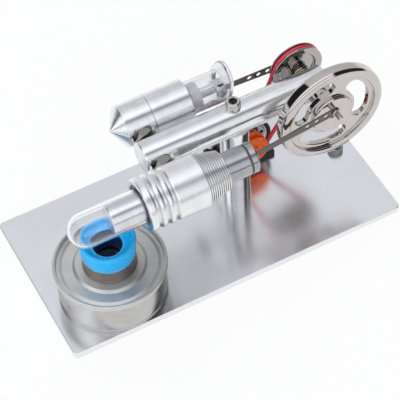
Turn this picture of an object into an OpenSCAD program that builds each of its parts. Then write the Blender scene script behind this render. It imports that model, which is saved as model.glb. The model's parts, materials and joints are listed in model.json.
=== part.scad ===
/* [Base plate] */
// Length of the plate
plate_l = 150; // [140:1:170]
// Width of the plate
plate_w = 75; // [72:1:90]
// Thickness of the plate
plate_t = 3; // [2.5:0.1:5]
// Radius of the plate's corners
plate_corner_r = 2; // [1:0.5:5]

/* [Column and beam] */
// Distance of the column to the right of the plate's centre
column_x = 18; // [14:0.5:20]
// Diameter of the column
column_d = 12; // [10:0.5:13]
// Height of the cylinder and crank axes above the table
axis_z = 54.2; // [54:0.2:62]
// Diameter of the beam
beam_d = 13.4; // [12.8:0.1:15]
// Left end of the beam, as a distance from the plate's centre
beam_left = 23.2; // [22.8:0.2:30]
// Length of the beam beyond the crank axis
beam_past_crank = 6; // [5:0.5:8]
// Edge chamfer of the beam
beam_chamfer = 0.8; // [0.4:0.1:1.2]
// Depth of the column's saddle round the beam
saddle_depth = 2; // [1:0.5:3]

/* [Beam screw] */
// Shank diameter of the screw through the beam
beam_screw_d = 3.5; // [3:0.5:4]
// Diameter of its socket head
beam_screw_head_d = 6.2; // [5.6:0.1:7]
// Height of its head
beam_screw_head_h = 4.4; // [3:0.2:5]
// Depth of its thread in the column
beam_screw_thread = 11; // [8:1:14]
// Size across corners of the hex socket
beam_screw_socket = 3.2; // [2.4:0.2:3.6]

/* [Crank] */
// Distance of the crank axis to the right of the plate's centre
crank_x = 53; // [52:0.5:54]
// Throw of both crank pins
crank_r = 5.6; // [5:0.1:6]
// Diameter of the axle
axle_d = 3; // [2.6:0.1:3.4]
// Angle of the front crank pin, from the right, counter-clockwise seen from the front
front_pin_angle = 100; // [90:5:110]
// Lead of the rear crank pin
crank_lead = 90; // [80:5:100]
// Diameter of the crank pins
crank_pin_d = 2.4; // [2:0.1:2.8]
// Length of the front pin's stub
front_stub = 2; // [1.6:0.1:2.6]
// Length of the rear pin's stub
rear_stub = 2.1; // [1.6:0.1:2.6]

/* [Flywheel] */
// Diameter of the flywheel
fly_d = 46.1; // [44:0.1:48]
// Width of its rim
fly_w = 6; // [5:0.2:6.6]
// Width of the rim ring, inwards
fly_rim = 3.8; // [3:0.1:4.2]
// Diameter of the raised hub
fly_hub_d = 18; // [17:0.2:19]
// Depth of the web below the front face
fly_web_depth = 1.6; // [1:0.1:2]
// Thickness of the web
fly_web_t = 2.8; // [2:0.1:3.2]
// Number of windows
fly_windows = 3; // [2:1:3]
// Width of a window
fly_window_w = 6.4; // [5:0.1:6.8]
// Half of a window's angle between the centres of its round ends
fly_window_half = 34; // [28:1:36]
// Turn of the first window
fly_window_turn = 11.5; // [0:0.5:30]
// Edge chamfer of the rim
fly_chamfer = 0.8; // [0.4:0.1:1]

/* [Belt drive] */
// Diameter of the belt wheel
belt_wheel_d = 22.6; // [21:0.2:23.4]
// Width of the belt wheel
belt_wheel_w = 3.6; // [3.2:0.1:3.8]
// Diameter of the motor pulley
pulley_d = 13.8; // [12.4:0.2:15]
// Distance of the pulley's groove behind the belt wheel's
pulley_offset = 0.6; // [0:0.1:0.8]
// Thickness of the pulley's front flange
pulley_front_t = 1.2; // [1:0.1:1.6]
// Thickness of the pulley's back flange
pulley_back_t = 1.6; // [1:0.1:1.7]
// Diameter of the recess in the pulley's front
pulley_recess_d = 9.4; // [8:0.2:9.6]
// Diameter of the round belt
belt_d = 1.8; // [1.4:0.1:2]
// Depth of the belt's outside below the flanges
belt_sink = 0.1; // [0.1:0.1:0.3]
// Gap between the belt and the bottom of its grooves
belt_gap = 0.15; // [0.1:0.05:0.3]

/* [Connecting rods] */
// Height of the perforated strips at the crank pin
strip_h = 4.6; // [4.4:0.1:5.2]
// Height of the strips at the small end
strip_small_h = 3.2; // [3:0.1:4]
// Thickness of the strips
strip_t = 0.8; // [0.6:0.1:0.9]
// Pitch of the strips' holes
strip_pitch = 4.2; // [4:0.1:4.4]
// Diameter of the strips' open holes
strip_hole_d = 2; // [1.6:0.1:2.4]
// Gap between the clevis and the gland bush at the inner end of the stroke
clevis_gap = 0.54; // [0.3:0.02:1.2]
// Distance between the rear rod's pivots
rear_rod_l = 25.4; // [25:0.1:25.8]
// Distance of the front rod's first open hole from the crank pin
front_first_hole = 4.2; // [4:0.1:5]
// Distance of the rear rod's first open hole from the crank pin
rear_first_hole = 5.1; // [4:0.1:5.4]
// Open holes of each strip
strip_holes = 3; // [2:1:3]
// Diameter of the small-end pins
wrist_d = 1.6; // [1.4:0.1:1.8]
// Length of the stub beyond the front strip
front_bush_l = 4.6; // [3:0.2:5]
// Length of the bush beyond the rear strip
rear_bush_l = 2.4; // [2:0.2:3]

/* [Displacer cylinder] */
// Gap between the beam and the cooler
front_gap = 3.2; // [2.8:0.1:3.6]
// Diameter of the cooler
cooler_d = 22; // [21.4:0.2:24]
// Length of the cooler from the hot face to the last fin
cooler_l = 35.5; // [35:0.5:36]
// Place of the hot face, to the left of the plate's centre
cooler_left = 34; // [33.6:0.2:34.4]
// Number of wide grooves
groove_n = 3; // [2:1:3]
// Pitch of the wide grooves
groove_pitch = 3.6; // [3:0.1:3.8]
// Width of a wide groove
groove_w = 1.4; // [1:0.1:1.8]
// Depth of a wide groove
groove_depth = 1.2; // [0.8:0.1:1.6]
// Distance from the hot face to the first groove's middle
groove_first = 4; // [3.6:0.1:4.4]
// Number of fine fins
fin_n = 10; // [8:1:10]
// Pitch of the fine fins
fin_pitch = 1; // [0.9:0.02:1.04]
// Depth of the cuts between the fins
fin_depth = 1.3; // [0.8:0.1:1.6]
// Diameter of the smallest fin
fin_small_d = 16.6; // [16:0.1:18]
// Diameter of the glass tube
hot_tube_d = 14.5; // [14:0.1:15]
// Wall of the glass tube
hot_tube_wall = 0.95; // [0.8:0.05:1.1]
// Length of the glass tube
hot_tube_l = 44.3; // [44:0.5:48]
// Depth of the glass tube in the cooler
hot_tube_seat = 13.9; // [13:0.1:14.3]
// Diameter of the guide tube
guide_d = 12.7; // [12:0.1:13.4]
// Length of the guide tube
guide_l = 10.2; // [9.6:0.1:10.6]
// Thickness of the seal ring at its end
guide_ring_t = 0.8; // [0.6:0.1:1]
// Length of the cap beyond the seal ring
guide_cap_l = 2.8; // [2.4:0.1:3.2]
// Bore of the guide tube
guide_bore_d = 10.4; // [10:0.1:10.8]

/* [Displacer] */
// Diameter of the displacer
displacer_d = 11.8; // [11:0.1:12]
// Length of the displacer
displacer_l = 40; // [38:0.5:40.5]
// Wall of the displacer's shell
displacer_wall = 0.6; // [0.4:0.1:0.8]
// Diameter of the displacer rod
displacer_rod_d = 2.4; // [2:0.1:2.8]
// Diameter of the clevis
clevis_d = 6; // [5.6:0.1:6.6]

/* [Power cylinder] */
// Gap between the beam and the sleeve
rear_gap = 2.7; // [2.4:0.1:3.4]
// Diameter of the sleeve and the cap
sleeve_d = 17.8; // [17:0.1:19]
// Place of the sleeve's right end, right of the plate's centre
sleeve_right = 6.1; // [5.6:0.1:6.6]
// Length of the sleeve
sleeve_l = 16.9; // [16:0.1:17.4]
// Length of the cap's straight part
cap_l = 11.9; // [11.6:0.1:13]
// Height of the cap's cone
cone_h = 5.1; // [4:0.1:6]
// Diameter of the glass barrel
barrel_d = 13.8; // [13.2:0.1:14.2]
// Wall of the glass barrel
barrel_wall = 1.15; // [1:0.05:1.3]
// Length of the barrel beyond the sleeve
barrel_out = 16.5; // [15:0.1:16.8]
// Length of the finger flange
flange_l = 36; // [30:0.5:38]
// Width of the finger flange
flange_w = 15.2; // [14.3:0.1:16]
// Squareness of the flange's outline, where 2 is an ellipse
flange_squareness = 2.6; // [2:0.1:4]
// Thickness of the finger flange
flange_t = 1.6; // [1.2:0.1:2]
// Turn of the finger flange
flange_turn = 25; // [0:1:30]
// Length of the piston
piston_l = 12; // [10:0.5:12.5]
// Distance of the rear rod in front of the cylinder's axis
rear_rod_offset = 2.1; // [2:0.1:2.4]

/* [Gas transfer] */
// Distance of the cross tube from the beam's left end
cross_from_end = 6.2; // [6:0.1:6.4]
// Diameter of the cross tube
cross_d = 4; // [3.4:0.1:4.4]
// Bore of the cross tube
cross_bore_d = 2.4; // [2:0.1:2.6]
// Size across the flats of the hex nuts
nut_af = 8.6; // [8:0.1:9]
// Depth of the nuts' recesses
nut_recess = 1.1; // [0.8:0.1:1.3]

/* [Generator] */
// Distance of the motor to the right of the plate's centre
motor_x = 32.3; // [31.5:0.1:33]
// Diameter of the motor
motor_d = 20.4; // [19:0.1:20.8]
// Length of the motor's can
motor_l = 12; // [10:0.5:13]
// Distance of the motor's face behind the beam's middle
motor_y = 16.8; // [16.6:0.1:18]
// Wall of the holder's ring
holder_wall = 1.2; // [1:0.1:1.4]
// Width of the holder's ring
holder_ring_w = 9.6; // [8:0.2:11]
// Thickness of the holder's foot
holder_foot_t = 2.2; // [1.8:0.1:2.4]
// Reach of the holder's foot to the left of the motor
holder_left = 14.3; // [14:0.1:14.6]
// Reach of the holder's foot to the right of the motor
holder_right = 8; // [6:0.1:9]
// Depth of the holder's foot, front to back
holder_depth = 18.4; // [17:0.1:19]
// Reach of the foot in front of the motor's face
holder_front = 4.2; // [3.8:0.1:4.4]

/* [Lamp] */
// Distance of the lamp behind the beam's middle
lamp_y = 2.2; // [0:0.1:3]
// Distance of the lamp from the plate's right end
lamp_from_end = 8; // [7:0.5:10]
// Diameter of the lamp's socket
lamp_socket_d = 6.6; // [6:0.1:7]
// Height of the lamp's socket
lamp_socket_h = 2.2; // [1.8:0.1:4]
// Diameter of the lamp
lamp_d = 4; // [3:0.1:4.2]

/* [Burner] */
// Place of the burner to the left of the plate's centre
burner_x = 47.2; // [46:0.2:48]
// Place of the burner in front of the beam
burner_y = 15.2; // [14:0.2:15.4]
// Diameter of the can's rim
can_d = 46.1; // [44:0.1:47]
// Height of the can with its rim
can_h = 18.1; // [16:0.1:18.6]
// Inset of the can's wall from its rim
can_inset = 0.85; // [0.6:0.05:1.1]
// Height of the rim's seam
seam_h = 2.5; // [2:0.1:3]
// Thickness of the can's sheet
sheet_t = 0.5; // [0.4:0.05:0.6]
// Diameter of the neck
neck_d = 22; // [21:0.1:22.2]
// Height of the neck
neck_h = 6.9; // [6:0.1:7.4]
// Diameter of the cap's lip
cap_d = 23.2; // [22.4:0.1:24]
// Height of the cap
cap_h = 8.7; // [8:0.1:9.2]
// Diameter of the hole in the cap
cap_hole_d = 11.8; // [10:0.2:12.4]
// Depth of the cap's dish
cap_dish = 4; // [3:0.1:4.4]
// Diameter of the wick
wick_d = 6; // [4:0.2:7]

/* [Fits] */
// Radial clearance of turning and sliding fits
run_fit = 0.05; // [0.03:0.01:0.08]
// Radial clearance of fixed fits
seat_fit = 0.02; // [0.01:0.01:0.04]
// Side gap of pieces that pass each other
side_gap = 0.3; // [0.2:0.05:0.4]

/* [Hidden] */
$fn = 96;
// Extra length of cuts, so that they pass the faces that they open
over = 1;

// Main places
front_y = beam_d / 2 + front_gap + cooler_d / 2;
rear_y = beam_d / 2 + rear_gap + sleeve_d / 2;
beam_r = beam_d / 2;
beam_x0 = -beam_left;
beam_x1 = crank_x + beam_past_crank;
cross_x = beam_x0 + cross_from_end;

// Beam screw
beam_screw_z0 = axis_z - beam_r - beam_screw_thread;
beam_screw_seat = axis_z + sqrt(beam_r * beam_r - beam_screw_head_d * beam_screw_head_d / 4);

// Crank axle bushes
bush_d = 6;
bush_l = 4;
bush_flange_d = 7.4;
bush_flange_t = 0.8;
bush_seat_y = sqrt(beam_r * beam_r - bush_flange_d * bush_flange_d / 4);
bush_out_y = bush_seat_y + bush_flange_t;

// Crank side places along Y, front planes negative
rear_rod_y = rear_y - rear_rod_offset;
fly_y0 = -(front_y - strip_t / 2 - side_gap - front_stub);
fly_y1 = fly_y0 + fly_w;
wheel_y1 = rear_rod_y - strip_t / 2 - side_gap - rear_stub;
wheel_y0 = wheel_y1 - belt_wheel_w;
belt_y = (wheel_y0 + wheel_y1) / 2;
hub_boss_d = 8;
rear_pin_angle = front_pin_angle + crank_lead;
front_pin_x = crank_x + crank_r * cos(front_pin_angle);
front_pin_z = axis_z + crank_r * sin(front_pin_angle);
rear_pin_x = crank_x + crank_r * cos(rear_pin_angle);
rear_pin_z = axis_z + crank_r * sin(rear_pin_angle);
axle_y0 = fly_y0 + 0.5 * fly_web_depth;
axle_y1 = wheel_y1 - 0.2 * belt_wheel_w;
grub_d = 2;
fly_grub_y = (fly_y1 - bush_out_y - side_gap) / 2;
front_pin_y1 = fly_y0 + fly_web_depth + 0.6 * fly_web_t;
wheel_recess = 1.2;
wheel_rim = 3.2;
wheel_hub_d = 7.4;
wheel_grub_d = 1.4;
wheel_grub_y = (bush_out_y + side_gap + wheel_y0) / 2;
rear_pin_y0 = wheel_y1 - 0.5 * (belt_wheel_w - wheel_recess);

// Displacer cylinder, along X
cooler_x0 = -cooler_left;
cooler_x1 = cooler_x0 + cooler_l;
glass_x1 = cooler_x0 + hot_tube_seat;
glass_x0 = glass_x1 - hot_tube_l;
hot_bore_r = hot_tube_d / 2 - hot_tube_wall;
seal_wall = 1.4;
seal_d = hot_tube_d + 2 * seal_wall;
seal_l = 2.4;
seal_sink = 0.4;
spigot_d = 9.96;
spigot_l = 2.5;
bush_bore_d = 5;
bush_reach = 3;
guide_x1 = cooler_x1 + guide_l;
guide_cap_x0 = guide_x1 + guide_ring_t;
guide_cap_x1 = guide_cap_x0 + guide_cap_l;
guide_ring_inset = 0.3;
guide_ring_d = guide_d - 2 * guide_ring_inset;
fins_l = fin_n * fin_pitch;
fins_x0 = cooler_x1 - fins_l;
fin_step = 0.6;
fin_big_d = cooler_d - 2 * fin_step;

// Connecting rods
clevis_l = 6.4;
clevis_past_pin = 0.4 * strip_h;
front_wrist_in_x = cooler_x1 + bush_reach + clevis_gap + clevis_l - clevis_past_pin;
front_rod_l = crank_x - crank_r - front_wrist_in_x;
front_wrist_x = front_pin_x - sqrt(pow(front_rod_l, 2) - pow(front_pin_z - axis_z, 2));
rear_wrist_x = rear_pin_x - sqrt(pow(rear_rod_l, 2) - pow(rear_pin_z - axis_z, 2));
front_rod_tilt = asin((front_pin_z - axis_z) / front_rod_l);
rear_rod_tilt = asin((rear_pin_z - axis_z) / rear_rod_l);

// Displacer and its rod
displacer_gap = 0.5;
displacer_travel = crank_x + crank_r - front_rod_l - front_wrist_x;
displacer_x1 = cooler_x1 - spigot_l - displacer_travel - displacer_gap;
displacer_x0 = displacer_x1 - displacer_l;
displacer_plug_l = 4;
clevis_x1 = front_wrist_x + clevis_past_pin;
clevis_x0 = clevis_x1 - clevis_l;
clevis_slot = strip_t + 2 * side_gap;

// Power cylinder, along X
sleeve_x0 = sleeve_right - sleeve_l;
cone_x = sleeve_x0 - cap_l;
joint_l = 3;
joint_wall = 1;
seal_t = 1;
barrel_x0 = sleeve_x0 + seal_t;
barrel_x1 = sleeve_right + barrel_out;
barrel_bore_r = barrel_d / 2 - barrel_wall;
cap_floor = 2;
piston_travel = crank_x + crank_r - rear_rod_l - rear_wrist_x;
piston_x1 = barrel_x1 - piston_travel - side_gap;
piston_x0 = piston_x1 - piston_l;
piston_wall = 1.2;
piston_floor = 2;
lug_rod_d = 4.4;
lug_eye_t = 3;
lug_eye_h = 4.4;
lug_eye_l = 6;
lug_cheek_t = 1;
lug_y0 = rear_rod_y + strip_t / 2 + side_gap;
lug_slot_y0 = rear_rod_y - strip_t / 2 - side_gap;
lug_past_pin = 0.3 * lug_eye_l;
lug_root = strip_h / 2 + side_gap + 1.5 * lug_cheek_t;
wrist_head_d = 3.4;
wrist_head_t = 1;

// Gas transfer
nut_pocket_gap = 0.5;
nut_pocket_d = nut_af / cos(30) + 2 * nut_pocket_gap;
cap_pocket_y = rear_y - sleeve_d / 2 + nut_recess;
beam_pocket_y = beam_r - nut_recess;

// Belt drive
wheel_belt_r = belt_wheel_d / 2 - belt_sink - belt_d / 2;
pulley_belt_r = pulley_d / 2 - belt_sink - belt_d / 2;
motor_z = plate_t + motor_d / 2 + holder_wall + seat_fit + 0.1 * holder_foot_t;
groove_half = belt_d / 2 + belt_gap;
pulley_mid_y = belt_y + pulley_offset;
pulley_y0 = pulley_mid_y - groove_half - belt_gap - pulley_front_t;
pulley_y1 = pulley_mid_y + groove_half + belt_gap + pulley_back_t;
pulley_recess = 0.7 * pulley_front_t;
pulley_hub_d = 4.4;
belt_dx = motor_x - crank_x;
belt_dz = motor_z - axis_z;
belt_span = norm([belt_dx, belt_dz]);
belt_dir = atan2(belt_dz, belt_dx);
belt_lean = asin((wheel_belt_r - pulley_belt_r) / belt_span);

// Rings of the belt round the wheel and then round the pulley, as the turn of each ring's outward side
belt_wheel_steps = 40;
belt_pulley_steps = 24;
belt_sides = 16;
belt_turns = concat(
    [for (i = [0 : belt_wheel_steps]) belt_dir + 90 - belt_lean + i * (180 + 2 * belt_lean) / belt_wheel_steps],
    [for (i = [0 : belt_pulley_steps])
        belt_dir - 90 + belt_lean + i * (180 - 2 * belt_lean) / belt_pulley_steps]);

// Motor
motor_wall = 0.8;
motor_shaft_d = 2;
motor_bush_d = 5.2;
motor_bush_out = 1.2;
motor_cap_t = 1.8;
motor_hole_d = 2;
motor_hole_r = 7.25;
motor_hole_turn = 11;
magnet_t = 1.8;
armature_d = 13.6;
armature_l = 8;
terminal_w = 2;
terminal_t = 0.5;
terminal_l = 3.4;
holder_screw_d = 2;
holder_screw_head_d = 3.8;
holder_screw_head_h = 1.5;
holder_screw_edge = 2.8;
holder_x0 = motor_x - holder_left;
holder_y0 = motor_y - holder_front;
holder_screw_x = holder_x0 + holder_screw_edge;
holder_screw_ys = [holder_y0 + holder_screw_edge, holder_y0 + holder_depth - holder_screw_edge];

// Column base screw
base_screw_d = 4;
base_screw_head_d = 7;
base_screw_head_h = 1.8;
base_screw_l = 12;

// Lamp
lamp_x = plate_l / 2 - lamp_from_end;
lamp_flange_w = 0.4;
lamp_flange_d = lamp_d + 2 * lamp_flange_w;
lamp_flange_t = 0.6;
lamp_dome_h = 2.4;

// Burner
can_r = can_d / 2 - can_inset;
can_top = plate_t + can_h;
seam_z = can_top - seam_h;
seam_w = 1.3;
panel_sink = 1.5;
collar_sink = 0.7;
panel_z = can_top - panel_sink;
collar_z = can_top - collar_sink;
neck_wall = 1;
neck_top_z = collar_z + neck_h;
spout_d = 18.8;
spout_h = 3.8;
cap_flare = 0.7;
cap_foot_d = cap_d - 2 * cap_flare;
cap_lip = 1.2;
cap_wall = 1.6;
cap_tube_wall = 1;
cap_tube_gap = 0.9;
wick_sink = 2;
wick_lift = 3;
wick_top = neck_top_z - wick_sink;
wick_bottom = plate_t + wick_lift;

// A round bar along X
module bar_x(d, x0, x1, y) {
    translate([x0, y, axis_z])
        rotate([0, 90, 0])
            cylinder(d = d, h = x1 - x0);
}

// A round bar along Y
module bar_y(d, y0, y1, x, z) {
    translate([x, y0, z])
        rotate([-90, 0, 0])
            cylinder(d = d, h = y1 - y0);
}

// A round bar along Z
module bar_z(d, z0, z1, x, y) {
    translate([x, y, z0])
        cylinder(d = d, h = z1 - z0);
}

// A shape turned about X from points of radius and place along X
module turned_x(points, y) {
    translate([0, y, axis_z])
        rotate([0, 90, 0])
            rotate_extrude()
                polygon(points);
}

// A shape turned about Y from points of radius and place along Y
module turned_y(points, x, z) {
    translate([x, 0, z])
        rotate([-90, 0, 0])
            rotate_extrude()
                polygon(points);
}

// A shape turned about Z from points of radius and height
module turned_z(points, x, y) {
    translate([x, y, 0])
        rotate_extrude()
            polygon(points);
}

// Base and frame

module plate_outline() {
    square([plate_l - 2 * plate_corner_r, plate_w], center = true);
    square([plate_l, plate_w - 2 * plate_corner_r], center = true);
    for (sx = [-1, 1], sy = [-1, 1])
        translate([sx * (plate_l / 2 - plate_corner_r), sy * (plate_w / 2 - plate_corner_r)])
            circle(r = plate_corner_r);
}

module base_plate() {
    color("gainsboro")
        difference() {
            linear_extrude(plate_t)
                plate_outline();
            bar_z(base_screw_d + 2 * seat_fit, -over, plate_t + over, column_x, 0);
            bar_z(base_screw_head_d + 2 * seat_fit, -over, base_screw_head_h, column_x, 0);
            for (y = holder_screw_ys)
                bar_z(holder_screw_d, -over, plate_t + over, holder_screw_x, y);
        }
}

module support_column() {
    color("silver")
        difference() {
            bar_z(column_d, plate_t, axis_z - beam_r + saddle_depth, column_x, 0);
            bar_x(beam_d, column_x - column_d, column_x + column_d, 0);
            bar_z(base_screw_d + 2 * seat_fit, plate_t - over, base_screw_l + over, column_x, 0);
            bar_z(beam_screw_d + 2 * seat_fit, beam_screw_z0 - over, axis_z, column_x, 0);
        }
}

module column_base_screw() {
    color("dimgray")
        difference() {
            union() {
                bar_z(base_screw_head_d, 0, base_screw_head_h, column_x, 0);
                bar_z(base_screw_d, 0, base_screw_l, column_x, 0);
            }
            translate([column_x, 0, -over])
                cylinder(d = base_screw_d / 2, h = over + base_screw_head_h / 2, $fn = 6);
        }
}

module beam_screw() {
    color("silver")
        difference() {
            union() {
                bar_z(beam_screw_d, beam_screw_z0, beam_screw_seat, column_x, 0);
                bar_z(beam_screw_head_d, beam_screw_seat, beam_screw_seat + beam_screw_head_h, column_x, 0);
            }
            translate([column_x, 0, beam_screw_seat + beam_screw_head_h / 2])
                cylinder(d = beam_screw_socket, h = beam_screw_head_h, $fn = 6);
        }
}

module main_beam() {
    color("silver")
        difference() {
            turned_x([[0, beam_x0], [beam_r - beam_chamfer, beam_x0], [beam_r, beam_x0 + beam_chamfer],
                [beam_r, beam_x1 - beam_chamfer], [beam_r - beam_chamfer, beam_x1], [0, beam_x1]], 0);
            bar_z(beam_screw_d + 2 * seat_fit, axis_z - beam_d, axis_z + beam_d, column_x, 0);
            bar_z(beam_screw_head_d + 2 * side_gap, beam_screw_seat, axis_z + beam_d, column_x, 0);
            bar_y(bush_d + 2 * seat_fit, -beam_d, beam_d, crank_x, axis_z);
            bar_y(bush_flange_d + 2 * side_gap, bush_seat_y, beam_d, crank_x, axis_z);
            bar_y(bush_flange_d + 2 * side_gap, -beam_d, -bush_seat_y, crank_x, axis_z);
            bar_y(cross_d + 2 * seat_fit, -beam_d, beam_d, cross_x, axis_z);
            bar_y(nut_pocket_d, -beam_d, -beam_pocket_y, cross_x, axis_z);
        }
}

// One flanged bush of the axle; side is 1 at the rear and -1 at the front
module axle_bush(side) {
    color("goldenrod")
        turned_y([[axle_d / 2 + run_fit, side * (bush_seat_y - bush_l)],
            [bush_d / 2, side * (bush_seat_y - bush_l)], [bush_d / 2, side * bush_seat_y],
            [bush_flange_d / 2, side * bush_seat_y], [bush_flange_d / 2, side * bush_out_y],
            [axle_d / 2 + run_fit, side * bush_out_y]], crank_x, axis_z);
}

module axle_bush_front() {
    axle_bush(-1);
}

module axle_bush_rear() {
    axle_bush(1);
}

// Displacer cylinder

// The cut between two fins, as a ring about the axis
module fin_cut(i) {
    big = fin_big_d + (fin_small_d - fin_big_d) * i / fin_n;
    x = fins_x0 + i * fin_pitch;
    turned_x([[big / 2 - fin_depth, x], [cooler_d / 2 + over, x],
        [cooler_d / 2 + over, x + fin_pitch / 2], [big / 2 - fin_depth, x + fin_pitch / 2]], -front_y);
}

module cooler_body() {
    groove_r = cooler_d / 2 - groove_depth;
    cut_r = cooler_d / 2 + over;
    color("silver")
        difference() {
            turned_x([[0, cooler_x0], [cooler_d / 2 - beam_chamfer, cooler_x0],
                [cooler_d / 2, cooler_x0 + beam_chamfer], [cooler_d / 2, fins_x0],
                [fin_big_d / 2, fins_x0], [fin_small_d / 2, cooler_x1], [0, cooler_x1]], -front_y);
            for (i = [0 : groove_n - 1]) {
                x = cooler_x0 + groove_first + i * groove_pitch;
                turned_x([[groove_r, x - groove_w / 2], [cut_r, x - groove_w / 2],
                    [cut_r, x + groove_w / 2], [groove_r, x + groove_w / 2]], -front_y);
            }
            for (i = [0 : fin_n - 1])
                fin_cut(i);
            bar_x(seal_d + 2 * seat_fit, cooler_x0 - over, cooler_x0 + seal_sink + seal_l, -front_y);
            bar_x(hot_tube_d + 2 * seat_fit, cooler_x0 - over, glass_x1, -front_y);
            bar_x(2 * hot_bore_r, cooler_x0 - over, cooler_x1 - spigot_l, -front_y);
            bar_x(spigot_d + 2 * seat_fit, cooler_x0, cooler_x1 + over, -front_y);
            bar_y(cross_d + 2 * seat_fit, -front_y + hot_bore_r / 2, 0, cross_x, axis_z);
        }
}

module hot_tube_seal() {
    color([0.15, 0.15, 0.15])
        difference() {
            bar_x(seal_d, cooler_x0 + seal_sink, cooler_x0 + seal_sink + seal_l, -front_y);
            bar_x(hot_tube_d + 2 * seat_fit, cooler_x0 - over, cooler_x0 + seal_l + over, -front_y);
        }
}

// A round-ended bar along X: r is its radius and x0 its tip
module round_ended(r, x0, x1) {
    bar_x(2 * r, x0 + r, x1, -front_y);
    translate([x0 + r, -front_y, axis_z])
        sphere(r = r);
}

module glass_hot_tube() {
    color([0.8, 0.9, 0.95, 0.35])
        difference() {
            round_ended(hot_tube_d / 2, glass_x0, glass_x1);
            round_ended(hot_bore_r, glass_x0 + hot_tube_wall, glass_x1 + over);
        }
}

module guide_tube() {
    wall_x = cooler_x1 + bush_reach;
    color("silver")
        difference() {
            union() {
                bar_x(guide_d, cooler_x1, guide_x1, -front_y);
                bar_x(spigot_d, cooler_x1 - spigot_l, cooler_x1, -front_y);
            }
            bar_x(bush_bore_d + 2 * seat_fit, cooler_x1 - spigot_l - over, wall_x + over, -front_y);
            bar_x(guide_bore_d, wall_x, guide_x1 + over, -front_y);
        }
}

module guide_seal_ring() {
    color([0.15, 0.15, 0.15])
        difference() {
            bar_x(guide_ring_d, guide_x1, guide_cap_x0, -front_y);
            bar_x(guide_bore_d, guide_x1 - over, guide_cap_x0 + over, -front_y);
        }
}

module guide_cap() {
    color("silver")
        difference() {
            bar_x(guide_d, guide_cap_x0, guide_cap_x1, -front_y);
            bar_x(guide_bore_d, guide_cap_x0 - over, guide_cap_x1 + over, -front_y);
        }
}

module gland_bush() {
    color("goldenrod")
        difference() {
            bar_x(bush_bore_d, cooler_x1 - spigot_l, cooler_x1 + bush_reach, -front_y);
            bar_x(displacer_rod_d + 2 * run_fit, cooler_x0, guide_x1, -front_y);
        }
}

// Gas transfer

module cross_tube() {
    y0 = -front_y + hot_bore_r;
    y1 = rear_y - barrel_bore_r;
    color("lightgray")
        difference() {
            bar_y(cross_d, y0, y1, cross_x, axis_z);
            bar_y(cross_bore_d, y0 - over, y1 + over, cross_x, axis_z);
        }
}

module hex_nut(y0, y1) {
    color("lightgray")
        difference() {
            translate([cross_x, y0, axis_z])
                rotate([-90, 0, 0])
                    cylinder(d = nut_af / cos(30), h = y1 - y0, $fn = 6);
            bar_y(cross_d + 2 * seat_fit, y0 - over, y1 + over, cross_x, axis_z);
        }
}

module spacer_nut_front() {
    hex_nut(-front_y + cooler_d / 2, -beam_pocket_y);
}

module spacer_nut_rear() {
    hex_nut(beam_r, cap_pocket_y);
}

// Power cylinder

module cone_cap() {
    r = sleeve_d / 2;
    color("silver")
        difference() {
            union() {
                turned_x([[0, cone_x - cone_h], [r, cone_x], [r, sleeve_x0], [0, sleeve_x0]], rear_y);
                bar_x(barrel_d + 2 * (seat_fit + joint_wall), sleeve_x0, sleeve_x0 + joint_l, rear_y);
            }
            bar_x(barrel_d + 2 * seat_fit, sleeve_x0, sleeve_x0 + joint_l + over, rear_y);
            bar_x(2 * barrel_bore_r, cone_x + cap_floor, sleeve_x0 + over, rear_y);
            bar_y(cross_d + 2 * seat_fit, 0, rear_y - barrel_bore_r / 2, cross_x, axis_z);
            bar_y(nut_pocket_d, 0, cap_pocket_y, cross_x, axis_z);
        }
}

module cylinder_sleeve() {
    joint_d = barrel_d + 4 * seat_fit + 2 * joint_wall;
    color("silver")
        difference() {
            bar_x(sleeve_d, sleeve_x0, sleeve_right, rear_y);
            bar_x(barrel_d + 2 * seat_fit, sleeve_x0 - over, sleeve_right + over, rear_y);
            bar_x(joint_d, sleeve_x0 - over, sleeve_x0 + joint_l + seat_fit, rear_y);
        }
}

module barrel_seal() {
    color([0.15, 0.15, 0.15])
        difference() {
            bar_x(barrel_d, sleeve_x0, barrel_x0, rear_y);
            bar_x(2 * barrel_bore_r, sleeve_x0 - over, barrel_x0 + over, rear_y);
        }
}

// The outline of the finger flange, its length along X
module flange_outline() {
    steps = 72;
    function bulge(share) = sign(share) * pow(abs(share), 2 / flange_squareness);
    polygon([for (i = [0 : steps - 1])
        [flange_l / 2 * bulge(cos(i * 360 / steps)), flange_w / 2 * bulge(sin(i * 360 / steps))]]);
}

module glass_barrel() {
    color([0.8, 0.9, 0.95, 0.35])
        difference() {
            union() {
                bar_x(barrel_d, barrel_x0, barrel_x1, rear_y);
                translate([barrel_x1, rear_y, axis_z])
                    rotate([flange_turn, 0, 0])
                        rotate([0, -90, 0])
                            linear_extrude(flange_t)
                                flange_outline();
            }
            bar_x(2 * barrel_bore_r, barrel_x0 - over, barrel_x1 + over, rear_y);
        }
}

// Crank

module crank_axle() {
    color("lightgray")
        bar_y(axle_d, axle_y0, axle_y1, crank_x, axis_z);
}

// One kidney-shaped window of the flywheel, drawn flat about its centre
module window_outline(mid_r) {
    steps = 12;
    function spot(r, a) = [r * cos(a), r * sin(a)];
    inner = mid_r - fly_window_w / 2;
    outer = mid_r + fly_window_w / 2;
    polygon(concat(
        [for (i = [0 : steps]) spot(outer, fly_window_half * (2 * i / steps - 1))],
        [for (i = [0 : steps]) spot(inner, fly_window_half * (1 - 2 * i / steps))]));
    for (s = [-1, 1])
        translate(spot(mid_r, s * fly_window_half))
            circle(d = fly_window_w);
}

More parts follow.
